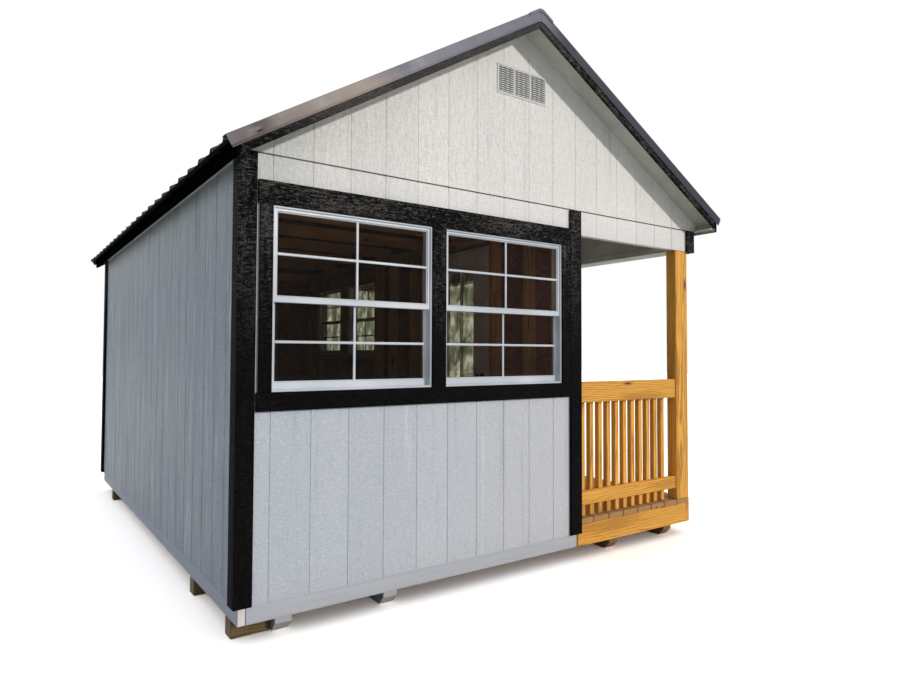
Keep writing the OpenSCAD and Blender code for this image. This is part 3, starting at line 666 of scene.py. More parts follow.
def rake_metal_finish(look):
    """Satin paint of the rake trims, its tones a painted reflection: dark at the left foot, dull
    bronze to warm grey up the left slope, slate to the peak and dark on the right slope, with soft
    blots of painted reflection, as where the sheet is not quite flat."""
    f = Finish("rake_metal")
    x, _, z = f.axes(f.place)
    blot = f.noise(f.vector(x, 0.0, z), (2.6, 1.0, 2.6), 3.0, 0.6, 0.8)
    fine = f.noise(f.vector(x, 0.0, z), (14.0, 1.0, 14.0), 3.0, 0.6)
    # the tone ramp along the slope is a painted reflection, shifted by the blots
    along = f.do("MULTIPLY_ADD", blot, 0.35, f.do("ADD", z, -0.17))
    tone = f.shades(f.grade(along, 2.15, 3.35), (0.04, look.trim_dark), (0.20, look.trim_warm),
                    (0.45, look.trim_glint), (0.66, look.trim_cool), (0.95, look.trim_cool))
    # fine pale glints: a painted highlight
    tone = f.mix(f.grade(fine, 0.50, 0.80, 0.0, 0.35), tone, look.trim_glint)
    # the right slope is darkened: painted reflection
    tone = f.mix(f.grade(x, 0.0, 0.22), tone, look.trim_night)
    f.surface(Base_Color=tone, Metallic=0.0, Roughness=f.grade(blot, 0.3, 0.7, 0.38, 0.55),
              Specular_IOR_Level=0.22, Coat_Weight=0.06, Coat_Roughness=0.3,
              Normal=f.bump(fine, 0.0009))
    return f.material


def vinyl_finish(white, shade):
    """Smooth white plastic or paint in two tones, with scattered specks of dust."""
    f = Finish("window_vinyl")
    line = f.noise(f.place, (3.0, 3.0, 3.0), 3.0)
    speck = f.noise(f.place, (90.0, 90.0, 90.0), 3.0, 0.6)
    tone = f.mix(f.grade(line, 0.35, 0.65), white, shade)
    tone = f.mix(f.grade(speck, 0.62, 0.80, 0.0, 0.35), tone, rgb("b9b7b0"))
    f.surface(Base_Color=tone, Roughness=f.grade(speck, 0.3, 0.7, 0.30, 0.44), IOR=1.5,
              Normal=f.bump(speck, 0.0003))
    return f.material


def glass_finish(look):
    """Tinted clear glass with a breath of dust in its gloss, brown in front and, in the porch wall,
    mottled green: a painted reflection of trees."""
    f = Finish("window_glass")
    dust = f.noise(f.place, (5.0, 5.0, 5.0), 4.0, 0.6)
    leaf = f.noise(f.place, (9.0, 13.0, 9.0), 4.0, 0.65, 0.6)
    tone = f.mix(f.grade(dust, 0.3, 0.7), look.glass, look.glass_dust)
    # mottled green: a painted reflection of trees in the porch panes
    green = f.shades(leaf, (0.38, look.leaf), (0.50, look.leaf_pale), (0.66, (0.62, 0.66, 0.54)))
    tone = f.mix(f.grade(f.axes(f.place)[0], PORCH_WALL - 0.2, PORCH_WALL - 0.1), tone, green)
    f.surface(Base_Color=tone, Roughness=f.grade(dust, 0.45, 0.8, 0.0, 0.03), IOR=1.14,
              Transmission_Weight=1.0)
    return f.material


def soffit_finish(look):
    """Thin paint on smooth boards: brush lines and water marks in grey green."""
    f = Finish("soffit_paint")
    brush = f.noise(f.place, (60.0, 5.0, 60.0), 4.0, 0.6)
    stain = f.noise(f.place, (2.4, 2.4, 2.4), 4.0, 0.6, 0.5)
    tone = f.mix(f.grade(stain, 0.35, 0.65), look.soffit, look.soffit_shade)
    tone = f.darken(f.grade(brush, 0.42, 0.25, 0.0, 0.4), tone, (0.8, 0.79, 0.74))
    f.surface(Base_Color=tone, Roughness=f.grade(brush, 0.3, 0.7, 0.5, 0.68),
              Normal=f.bump(brush, 0.0008))
    return f.material


def fascia_finish(look):
    """Black stain outside and soffit paint on the faces that look back at the wall: the inner
    side is where the normal's x and the place's x have unlike signs."""
    f = Finish("fascia_stain")
    g = f.grain()
    x = f.axes(f.place)[0]
    inner = f.do("LESS_THAN", f.do("MULTIPLY", f.do("SIGN", x), f.facing()[0]), -0.9)
    streak = f.noise(g, (6.0, 85.0, 85.0), 5.0, 0.66, 0.5)
    saw = f.noise(g, (95.0, 9.0, 9.0), 4.0, 0.66, 0.9)
    rough = f.blend(streak, 0.55, saw, 0.45)
    black = f.shades(rough, (0.36, look.dark), (0.56, look.stain), (0.76, look.worn))
    f.surface(Base_Color=f.mix(inner, black, look.inner_face),
              Roughness=f.grade(rough, 0.35, 0.65, 0.6, 0.8), Specular_IOR_Level=0.0,
              Normal=f.bump(rough, 0.002))
    return f.material


def sheet_floor_finish():
    """Pressed strand board: chips from two sets of cells in straw browns."""
    f = Finish("strand_board")
    chip = f.cells(f.place, (30.0, 11.0, 30.0))
    other = f.cells(f.place, (9.0, 34.0, 30.0), "SMOOTH_F1")
    both = f.blend(chip, 0.5, other, 0.5)
    tone = f.shades(both, (0.1, rgb("7e5c38")), (0.4, rgb("a5804f")), (0.7, rgb("c09a64")))
    f.surface(Base_Color=tone, Roughness=0.75, Normal=f.bump(both, 0.0015))
    return f.material


def screen_finish():
    """Insect screen in shadow: a fine speckle of two greys."""
    f = Finish("vent_screen")
    weave = f.noise(f.place, (700.0, 700.0, 700.0), 2.0)
    tone = f.shades(weave, (0.3, rgb("2a2a2c")), (0.7, rgb("57575a")))
    f.surface(Base_Color=tone, Roughness=0.7)
    return f.material


# ---------------------------------------------------------------- settings


def length(name, text, value, low_end=0.0):
    """Setting of a length in metres."""
    return FloatProperty(name=name, description=text, default=value, min=low_end, unit="LENGTH",
                         subtype="DISTANCE")


def colour(name, text, value):
    """Setting of a colour, from a six-digit code or three linear parts."""
    start = rgb(value) if isinstance(value, str) else value
    return FloatVectorProperty(name=name, description=text, default=start, size=3, min=0.0, max=1.0,
                               subtype="COLOR")


class ShedSidingSettings(bpy.types.PropertyGroup):
    pitch: length("Groove pitch", "Distance between the grooves of the siding panels", 0.2032)
    start: length("First groove", "Place of the first groove from the left on the gable ends",
                  -1.5684, -10.0)
    side_start: length("First side groove",
                       "Distance from the front to the first groove of the long walls", 0.217)
    groove: length("Groove width", "Width of one groove at the face of the panel", 0.0085)
    depth: length("Groove depth", "Depth of one groove", 0.0035)
    emboss: length("Emboss depth", "Depth of the pressed wood pattern", 0.014)
    # the lower wall tones are painted shade, lighter towards the porch where painted sunlight falls
    lower: colour("Lower wall", "Paint of the lower front wall and the rims", "bcc0c8")
    lower_right: colour("Lower wall, right", "Paint of the lower front wall towards the porch",
                        "c8c7cb")
    # the gable tones are painted sunlight, darker towards the left foot
    upper: colour("Gable", "Paint of the gables and the porch header", "f5efe8")
    upper_left: colour("Gable, left", "Paint of the left foot of the gable", "d0cec8")
    # the side wall tones are painted shade, darker and bluer, lighter and greener under the eave
    side: colour("Side wall", "Paint of the long side wall", "7e8896")
    side_top: colour("Side wall, top", "Paint of the long side wall under its eave", "9ba3a6")


class ShedTrimSettings(bpy.types.PropertyGroup):
    edge: length("Edge", "Chamfer along the edges of the trim boards", 0.0025)
    slit: length("Slit", "Open strip between the corner board and the board beside the window",
                 0.009)
    saw_depth: length("Saw marks", "Depth of the rough sawn surface", 0.007)
    dark: colour("Hollows", "Stain in the hollows of the rough boards", "040405")
    stain: colour("Stain", "Black stain of the trim boards", "0b0b0d")
    worn: colour("Raised grain", "Stain on the raised grain", "1c1a1a")
    # colour of the painted highlight on the raised grain, stronger higher up and on the left slope
    highlight: colour("High spots", "Greyed high spots of the rough boards", "605b58")
    inner_face: colour("Fascia back", "Paint on the wall side of the eave boards", "9a9c8c")
    soffit: colour("Soffit", "Paint of the soffits and the porch ceiling", "c6c7be")
    soffit_shade: colour("Soffit marks", "Darker marks on the soffits", "b2b3a4")


class ShedRoofSettings(bpy.types.PropertyGroup):
    pitch: length("Rib pitch", "Wanted distance between the ribs of the roof sheets", 0.211)
    rib_base: length("Rib foot", "Width of a rib at its foot", 0.040)
    rib_crown: length("Rib crown", "Width of a rib at its crown", 0.018)
    gauge: length("Sheet", "Thickness the folded sheets are shown with", 0.0014)
    lip: length("Cap lip", "Turn-down of the ridge cap over the gable ends", 0.018)
    drop: length("Rake trim", "Height of the rake trim's face", 0.075)
    sheet: colour("Roof sheet", "Paint of the roof sheets", "26252a")
    sheet_cool: colour("Roof sheet, cool", "Cool patches of the roof sheets", "303036")
    sheet_warm: colour("Roof sheet, warm", "Warm patches of the roof sheets", "3b3a3f")
    # tones of the painted reflection laid along the rake trims, from the left foot to the right
    # slope
    trim_dark: colour("Trim, foot", "Tone of the rake trims at the left foot", "54484a")
    trim_cool: colour("Trim, cool", "Slate tone of the rake trims", "6c6d78")
    trim_warm: colour("Trim, warm", "Bronze tone of the rake trims", "7f726a")
    trim_glint: colour("Trim, pale", "Palest blots of the rake trims", "978a80")
    trim_night: colour("Trim, right", "Tone of the rake trims on the porch slope", "1f2230")


class ShedWindowSettings(bpy.types.PropertyGroup):
    bar: length("Bar width", "Width of the bars that divide the panes", 0.0135)
    vinyl: colour("Vinyl", "White of the window frames and bars", "d3d6da")
    vinyl_shade: colour("Vinyl shade", "Greyer white of the window frames", "bfc4ca")
    glass: colour("Glass", "Tint of the panes", (0.70, 0.62, 0.56))
    glass_dust: colour("Glass, dusty", "Tint of the panes where they are dusty",
                       (0.60, 0.53, 0.48))
    # tints of the painted reflection of trees in the porch panes
    leaf: colour("Glass, porch", "Darkest tint of the panes in the porch wall",
                 (0.07, 0.09, 0.05))
    leaf_pale: colour("Glass, porch, pale", "Middle tint of the panes in the porch wall",
                      (0.22, 0.26, 0.17))
    slats: IntProperty(name="Vent slats", description="Slats in each field of the gable vents",
                       default=12, min=4, max=30)
    vent: colour("Vent", "Plastic of the gable vents", "d9d7d2")
    door: colour("Door", "Paint of the door and its frame", "dcdcda")


class ShedTimberSettings(bpy.types.PropertyGroup):
    edge: length("Edge", "Chamfer along the edges of posts, rails and boards", 0.004)
    light: colour("Pine, early wood", "Pale wood of the treated pine", "f0b04c")
    dark: colour("Pine, late wood", "Dark rings of the treated pine", "9f5f1c")
    knot: colour("Knots", "Knots of the treated pine", "4a2810")
    deck_light: colour("Deck, early wood", "Pale wood of the porch deck", "b98c56")
    deck_dark: colour("Deck, late wood", "Dark rings of the porch deck", "805a34")
    frame_light: colour("Framing, early wood", "Pale wood of the framing lumber", "b48a5c")
    frame_dark: colour("Framing, late wood", "Dark rings of the framing lumber", "8d6238")
    block_light: colour("Blocks, early wood", "Pale wood of the support blocks", "6d5a3c")
    block_dark: colour("Blocks, late wood", "Dark rings of the support blocks", "463822")


class ShedStageSettings(bpy.types.PropertyGroup):
    eye: FloatVectorProperty(name="Eye", description="Place of the camera", size=3,
                             subtype="TRANSLATION", default=(-2.6430, -5.3249, 1.3456))
    yaw: FloatProperty(name="Yaw", default=math.radians(36.434), subtype="ANGLE",
                       description="Turn of the view from the shed's length to its right")
    tilt: FloatProperty(name="Tilt", description="Rise of the view above the horizon",
                        default=math.radians(1.902), subtype="ANGLE")
    roll: FloatProperty(name="Roll", description="Roll of the view", default=math.radians(0.142),
                        subtype="ANGLE")
    lens: FloatProperty(name="Lens", description="Focal length on a 36 mm frame", default=26.357,
                        min=1.0)
    shift: FloatVectorProperty(name="Shift", description="Shift of the frame across the view",
                               size=2, default=(-0.0303, -0.0048))
    sun: FloatProperty(name="Sun", description="Strength of the sun lamp", default=1.75, min=0.0)
    sky: FloatProperty(name="Sky", description="Strength of the even light", default=0.52, min=0.0)
    sky_colour: colour("Sky colour", "Colour of the even light", (0.88, 0.95, 1.0))
    floor: FloatProperty(name="Floor gain", default=1.5, min=0.0,
                         description="Brightness of the open floor beside full white")
    glow: FloatProperty(name="Floor glow", default=0.04, min=0.0, max=1.0,
                        description="Part of the floor's brightness that nothing shades")


# ---------------------------------------------------------------- operators


class ShedOperator:
    """What all the shed's operators share."""

    bl_options = {"REGISTER", "UNDO"}

    def execute(self, context):
        self.make(context.scene)
        return {"FINISHED"}


FINISHES = {}


def finish(key, maker, *values, **named):
    """Makes each finish once and gives it to every piece that asks for it."""
    if key not in FINISHES:
        FINISHES[key] = maker(*values, **named)
    return FINISHES[key]


def stain(scene):
    return finish("stain", stain_finish, scene.shed_trim)


def siding_paint(scene):
    return finish("siding", siding_finish, scene.shed_siding)


def soffit_paint(scene):
    return finish("soffit", soffit_finish, scene.shed_trim)


def roof_metal(scene):
    look = scene.shed_roof
    return finish("roof_metal", metal_finish, "roof_metal", look.sheet, look.sheet_cool,
                  look.sheet_warm, 0.42)


def rake_metal(scene):
    return finish("rake_metal", rake_metal_finish, scene.shed_roof)


def pine(scene):
    t = scene.shed_timber
    return finish("pine", timber_finish, "treated_pine", t.light, t.dark, t.knot,
                  shade=(0.78, 0.66, 0.50))


def framing(scene, turn, name):
    """Framing lumber whose grain runs along the axis that the turn brings to x."""
    t = scene.shed_timber
    return finish(name, timber_finish, name, t.frame_light, t.frame_dark, rgb("5a3a22"),
                  ring=0.011, shade=(0.75, 0.66, 0.56), turn=turn)


def give(node, material):
    """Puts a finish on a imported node."""
    slots = frame["nodes"][node].data.materials
    slots.clear()
    slots.append(material)


def panel_grid(look, u0, u1, z0, top, holes=(), start=0.0):
    """Face and back grids of a grooved panel. Columns stand at the ends, the holes' edges and four
    to a groove; the face lies d(u) = thick - depth * min(1, (w/2 - m) / (w/4)) out where
    m < w/2 is the distance to the nearest groove line, and rows run from z0 to top(u)."""
    half, reach, margin = look.groove / 2, 1e-5, 0.01
    first = math.ceil((u0 + margin - start) / look.pitch)
    last = math.floor((u1 - margin - start) / look.pitch)
    lines = start + look.pitch * np.arange(first, last + 1)
    columns = [[u0, u1], [e for h in holes for e in h[:2]], [0.0] if u0 < 0 < u1 else []]
    columns += [lines + step for step in (-half, -half / 2, half / 2, half)]
    u = np.unique(np.round(np.concatenate(columns), 6))
    u = np.unique(np.clip(u[(u > u0 - reach) & (u < u1 + reach)], u0, u1))
    m = np.abs((u - start + look.pitch / 2) % look.pitch - look.pitch / 2)
    fall = np.clip((half - m) / (half / 2), 0, 1) * look.depth
    head = top(u)
    levels = np.unique(np.round([z0] + [e for h in holes for e in h[2:]], 6))
    levels = levels[(levels > z0 - reach) & (levels < head.min() - reach)]
    z = np.concatenate([np.repeat(levels[:, None], len(u), axis=1), head[None, :]])
    uu = np.broadcast_to(u, z.shape)
    mid_u, mid_z = (uu[:-1, :-1] + uu[1:, 1:]) / 2, (z[:-1, :-1] + z[1:, 1:]) / 2
    keep = np.ones(mid_u.shape, bool)
    for h in holes:
        keep &= ~((mid_u > h[0]) & (mid_u < h[1]) & (mid_z > h[2]) & (mid_z < h[3]))
    return uu, z, np.broadcast_to(PANEL - fall, z.shape), keep


def add_panel(skin, look, stand, u0, u1, z0, top, holes=(), start=0.0):
    """Adds one grooved panel whose back is raw. Its top is a height or a function of u."""
    level = top if callable(top) else (lambda u: np.full(len(u), float(top)))
    u, z, d, keep = panel_grid(look, u0, u1, z0, level, holes, start)
    face, back = stand(u, z, d - PANEL), stand(u, z, np.full(d.shape, -PANEL))
    points, (painted, raw, edges) = shell(face, back, keep)
    skin.add(points, [painted, edges, raw], (0, 0, 1))


def gable_top(u):
    """Height of the gable siding at x = u."""
    return DECK_PEAK - fall_at(u)


class SHED_OT_siding(ShedOperator, bpy.types.Operator):
    """Grooved and embossed panels on every wall, with openings for windows and door"""

    bl_idname = "shed.siding"
    bl_label = "Siding panels"

    def make(self, scene):
        look = scene.shed_siding
        finishes = [siding_paint(scene), finish("panel_back", panel_back_finish)]
        side_start = -HALF_LENGTH + look.side_start
        gap = 0.001
        wall_foot, wall_head = low("partition_siding", 2), high("partition_siding", 2)
        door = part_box("door_frame")
        doorway = (door[0][1], door[1][1], wall_foot - 1, door[1][2])
        gable = ((-HALF_WIDTH, HALF_WIDTH, BAND), (-TAIL, -HALF_WIDTH, SOFFIT_HEAD[-1]),
                 (HALF_WIDTH, TAIL, SOFFIT_HEAD[1]))
        long_header = (on_porch_header, -END_BACK + gap, END_BACK - gap, HEADER,
                       high("header_siding", 2), (), side_start)
        for name, node, panels in (
                ("front_panels", "front_siding",
                 [(on_front, -SIDE_FACE, PORCH_WALL, FOOT, BAND, FRONT_WINDOWS, look.start)]),
                ("back_panels", "back_siding",
                 [(on_back, -SIDE_FACE, PORCH_WALL, FOOT, BAND, (), look.start)]),
                ("left_panels", "left_siding",
                 [(on_left, -END_BACK, END_BACK, FOOT, high("left_siding", 2), (), side_start)]),
                ("porch_wall_panels", "partition_siding",
                 [(on_porch_wall, -END_BACK, END_BACK, wall_foot, wall_head,
                   [doorway] + PORCH_WINDOWS, side_start)]),
                ("gable_panels", "gable_siding",
                 [(stand, *part, gable_top, (), look.start) for stand in ENDS for part in gable]),
                ("header_panels", "header_siding",
                 [(stand, PORCH_WALL + gap, SIDE_FACE, HEADER, BAND, (), look.start)
                  for stand in ENDS] + [long_header])):
            skin = Skin()
            for panel in panels:
                add_panel(skin, look, *panel)
            piece(name, skin, finishes, [node])
        lining = Skin()
        board, strip = sorted(spans("header_lining"), key=lambda s: -s[1][2])
        add_panel(lining, look, plane(0, board[0][0], -1), board[0][1], board[1][1], board[0][2],
                  board[1][2], (), side_start)
        bars(lining, [block(*strip)], 0.002, 3)
        piece("header_lining_boards", lining, [soffit_paint(scene), finishes[1]],
              ["header_lining"])
        self.flashing(scene)

    def flashing(self, scene):
        """Folded strip over the joint of wall and gable: a lip 2 mm proud and 6 mm high."""
        d, z = np.array([(0.0, 0.0), (0.0022, 0.0005), (0.0028, 0.0055), (0.0012, 0.0070),
                         (0.0, 0.0070)]).T
        ends = np.array([[-SIDE_FACE + 0.007], [SIDE_FACE]])
        strip = Skin()
        for stand in ENDS:
            strip.add(*tube(stand(ends, BAND + z, d)))
        piece("gable_joint_flashing", strip, [roof_metal(scene)])


class SHED_OT_trim(ShedOperator, bpy.types.Operator):
    """Rough black boards: corners, window and door surrounds, rake boards and eave boards"""

    bl_idname = "shed.trim"
    bl_label = "Trim boards"

    def make(self, scene):
        look = scene.shed_trim
        black = stain(scene)
        self.corners(look, black)
        self.porch_corners(look, black)
        self.surrounds(look, black)
        timbers("rake_trim_boards", "rake_boards", black, look.edge, 37)
        timbers("eave_trim_boards", "eave_fascias", finish("fascia", fascia_finish, look),
                look.edge, 41)
        for node in ("rake_soffits", "eave_soffits", "porch_ceiling", "porch_beam"):
            give(node, soffit_paint(scene))

    @staticmethod
    def beyond(s, near, far):
        """Lower and upper y of what lies from near to far beyond the end wall on the side s."""
        return sorted((s * (HALF_LENGTH + near), s * (HALF_LENGTH + far)))

    def corners(self, look, black):
        """Two boards at each corner of the closed side: a wide one on the end wall and one that
        turns the corner."""
        skin = Skin()
        for s in (-1, 1):
            ends, back = self.beyond(s, 0.0, TRIM), self.beyond(s, -BITE, -NARROW)
            bars(skin, [standing((-HALF_WIDTH, -HALF_WIDTH + BOARD, FOOT, BAND), 0, ends),
                        standing((-HALF_WIDTH, -SIDE_FACE, FOOT, SOFFIT_FOOT[-1]), 0, back)],
                 look.edge, 11 + s)
        piece("corner_trim", skin, [black], ["corner_boards"])

    def porch_corners(self, look, black):
        """At each end of the porch, two short boards on its header and two long ones that turn the
        corner of the room."""
        skin = Skin()
        boards = spans("porch_corner_boards")
        stubs = [b for b in boards if b[0][0] > 1]
        jambs = [b for b in boards if b[0][0] < 1]
        for stub, jamb in zip(stubs, jambs):
            s = -1 if stub[0][1] < 0 else 1
            ends, back = self.beyond(s, 0.0, TRIM), self.beyond(s, -BITE, -NARROW)
            deep = self.beyond(s, -BITE, -BOARD)
            foot, (x0, x1) = stub[0][2], (jamb[0][0], jamb[1][0])
            deck = high("porch_deck", 2)
            bars(skin, [standing((HALF_WIDTH - BOARD, HALF_WIDTH, foot, BAND), 0, ends),
                        standing((SIDE_FACE, HALF_WIDTH, foot, SOFFIT_FOOT[1]), 0, back),
                        standing((x0, x1, FOOT, BAND), 0, ends),
                        standing((PORCH_WALL, x1, deck, HEADER - BITE), 0, deep)],
                 look.edge, 21 + s)
        piece("porch_corner_trim", skin, [black], ["porch_corner_boards"])

    def surrounds(self, look, black):
        """Boards round the front windows, the porch windows and the door."""
        plates = spans("window_trim")
        front = min(plates, key=lambda p: p[0][1])
        side = max(plates, key=lambda p: p[1][1])
        leaf = next(p for p in plates if p is not front and p is not side)
        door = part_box("door_frame")
        doorway = [(door[0][1], door[1][1], leaf[0][2], door[1][2])]
        skin = Skin()
        for plate, holes, along, carrier, slit, seed in (
                (front, FRONT_WINDOWS, 0, front, look.slit, 31),
                (side, PORCH_WINDOWS, 1, side, 0.0, 33), (leaf, doorway, 1, side, 0.0, 35)):
            outer = (plate[0][along], plate[1][along], plate[0][2], plate[1][2])
            depth = (carrier[0][1 - along], carrier[1][1 - along])
            bars(skin, [standing(r, along, depth) for r in self.round_holes(outer, holes, slit)],
                 look.edge, seed)
        piece("window_and_door_trim", skin, [black], ["window_trim"])

    @staticmethod
    def round_holes(outer, holes, slit):
        """Rectangles (u0, u1, z0, z1) of the boards round a row of holes: one over them all, one
        under them all where the holes end above the foot, and an upright one beside each. A slit
        is left open before the first upright."""
        u0, u1, z0, z1 = outer
        foot, head = holes[0][2:]
        sides = [u0 + slit] + [e for h in holes for e in h[:2]] + [u1]
        level = [(u0, u1, head, z1)] + ([(u0, u1, z0, foot)] if foot > z0 else [])
        return level + [(a, b, foot, head) for a, b in zip(sides[::2], sides[1::2])]


class SHED_OT_roof(ShedOperator, bpy.types.Operator):
    """Ribbed roof sheets, rake trims with their hems, ridge cap and screws"""

    bl_idname = "shed.roof"
    bl_label = "Roof metal"

    def make(self, scene):
        look, metal = scene.shed_roof, roof_metal(scene)
        margin = 0.025
        count = round((2 * ROOF_END - 2 * margin) / look.pitch)
        pitch = (2 * ROOF_END - 2 * margin) / count
        centres = -ROOF_END + margin + pitch * np.arange(count + 1)
        self.sheets(look, metal, centres, pitch)
        self.screws(look, metal, centres)
        self.rakes(scene, look)
        self.cap(scene, look)

    def sheets(self, look, metal, centres, pitch):
        """Sheet height over the flat h(y) = 20 mm * min(1, (f/2 - m) / ((f - c)/2)) for a distance
        m to the nearest rib, with two low ribs between, on the plane z = peak - fall * x."""
        foot, crown = look.rib_base / 2, look.rib_crown / 2
        low_foot, low_crown, low_rib, off_centre = 0.011, 0.005, 0.003, 0.038
        between = centres[:-1] + pitch / 2
        minor = np.concatenate([between - off_centre, between + off_centre])
        y = [[-ROOF_END, ROOF_END]] + [centres + s for s in (-foot, -crown, crown, foot)]
        y += [minor + s for s in (-low_foot, -low_crown, low_crown, low_foot)]
        y = np.unique(np.round(np.concatenate(y), 6))
        m = np.abs(y[:, None] - centres).min(axis=1)
        n = np.abs(y[:, None] - minor).min(axis=1)
        rise = np.clip((foot - m) / (foot - crown), 0, 1) * RIB + \
            np.clip((low_foot - n) / (low_foot - low_crown), 0, 1) * low_rib
        skin = Skin()
        for side in (-1, 1):
            x = np.array([0.001, 0.6, 1.2, DRIP - 0.0005])[:, None]
            z = SHEET_PEAK - FALL[side] * x + rise
            face = np.stack(np.broadcast_arrays(side * x, y, z), axis=-1)
            skin.add(*shell(face, face - np.array([0, 0, look.gauge])))
        piece("ribbed_roof_sheets", skin, [metal], ["roof_sheets"])

    def screws(self, look, metal, centres):
        """Hexagon heads on washers: rings of six points of radius r(k) at heights h(k), beside
        every rib in five rows down each slope, square to the slope."""
        radius = np.array([0.0075, 0.0075, 0.0046, 0.0042])[:, None, None]
        height = np.array([0.0, 0.0014, 0.0016, 0.0052])[:, None, None]
        turn, across = (np.arange(6) * math.pi / 3)[:, None], np.array([0, 1, 0])
        skin = Skin()
        for side in (-1, 1):
            lean = math.atan(FALL[side])
            down = np.array([side * math.cos(lean), 0, -math.sin(lean)])
            out = np.array([side * math.sin(lean), 0, math.cos(lean)])
            head = radius * np.cos(turn) * down + radius * np.sin(turn) * across + height * out
            for x in np.linspace(0.14, TAIL - 0.03, 5):
                for y in centres[:-1] + look.rib_base / 2 + 0.016:
                    skin.add(*tube(head + np.array([side * x, y, SHEET_PEAK - FALL[side] * x])))
        piece("roof_screws", skin, [metal])

    def rakes(self, scene, look):
        """Rake trims: a profile of top leg, rounded corner, face and folded hem, carried down each
        slope, whose face swells by w(s) = 1 mm * sin(5.1 s) * sin(2.3 s + 1). Near the lower left
        end it has one dent of 5 mm * exp(-(a / 30 mm)^2 - (b / 28 mm)^2), a along and b down."""
        drop, gauge = look.drop, 0.0013
        outer = np.array([(-0.058, 0.0), (-0.030, 0.0), (0.0, 0.0), (0.0028, -0.0008),
                          (0.0040, -0.0040), (0.0040, -0.022), (0.0040, -0.040), (0.0040, -0.058),
                          (0.0042, drop * -0.87), (0.0064, -drop + 0.0055),
                          (0.0062, -drop + 0.0015), (0.0030, -drop)])
        inner = outer + np.array([(0, -gauge)] * 3 + [
            (-gauge * 0.7, -gauge), (-gauge, -gauge * 0.4)] + [(-gauge, 0)] * 3 + [
            (-gauge, 0.0006), (-gauge, 0.0012), (-gauge, 0.0014), (-0.0006, 0.0016)])
        ridge = SHEET_PEAK + RIB + FOLD
        level = ridge - (FALL[-1] + FALL[1]) / 2 * CAP_FLAT
        run = np.unique(np.concatenate([np.linspace(0.0005, DRIP, 72),
                                        np.linspace(DRIP - 0.30, DRIP, 22)]))[:, None]
        skin = Skin()
        for s in (-1, 1):
            for side in (-1, 1):
                sheet = []
                for line in (outer, inner):
                    x, off, down = np.broadcast_arrays(run, line[:, 0], line[:, 1])
                    belly = np.clip(-down / 0.010, 0, 1) * np.clip((down + drop) / 0.016, 0, 1)
                    wave = 0.0010 * np.sin(5.1 * x + s + side) * np.sin(2.3 * x + 1.0)
                    dent = 0.005 * np.exp(-(((x - (DRIP - 0.15)) / 0.030) ** 2
                                            + ((down + 0.030) / 0.028) ** 2))
                    dent = dent * (1.0 if (s < 0 and side < 0) else 0.0)
                    away = off + belly * (wave - dent - 0.0010)
                    square = np.clip(-down, 0, None) * FALL[side] / (1 + FALL[side] ** 2)
                    x = np.minimum(x, DRIP - square)
                    z = np.minimum(ridge - FALL[side] * x, level) + down
                    sheet.append(np.stack([side * x, s * (ROOF_END + away), z], axis=-1))
                skin.add(*shell(*sheet))
        piece("rake_trims", skin, [rake_metal(scene)], ["rake_flashing"])

    def cap(self, scene, look):
        """Ridge cap: a narrow flat, two wings and turned edges, with a lip folded down over each
        gable end that follows the same line."""
        wing, flat, gauge = high("ridge_cap", 0), CAP_FLAT, 0.0016
        x = np.array([-wing, -wing + 0.001, -wing + 0.010, -flat - 0.004, -flat + 0.003])
        x = np.concatenate([x, -x[::-1]])
        bend = np.maximum(fall_at(x), fall_at(np.where(x < 0, -flat, flat)))
        turned = np.array([0.007, 0.001, 0, 0, 0, 0, 0, 0, 0.001, 0.007])
        level = SHEET_PEAK + RIB + 2 * FOLD - bend - turned
        end = ROOF_END + 2 * FOLD
        y = np.linspace(-end, end, 24)[:, None]
        face = np.stack(np.broadcast_arrays(x, y, level), axis=-1)
        skin = Skin()
        skin.add(*shell(face, face - np.array([0, 0, gauge])))
        down = np.linspace(0.0, look.lip, 3)[:, None]
        for s in (-1, 1):
            plate = np.stack(np.broadcast_arrays(x[1:-1], s * end, level[1:-1] - down), axis=-1)
            skin.add(*shell(plate, plate - np.array([0, s * gauge, 0])))
        piece("folded_ridge_cap", skin, [rake_metal(scene)], ["ridge_cap"])


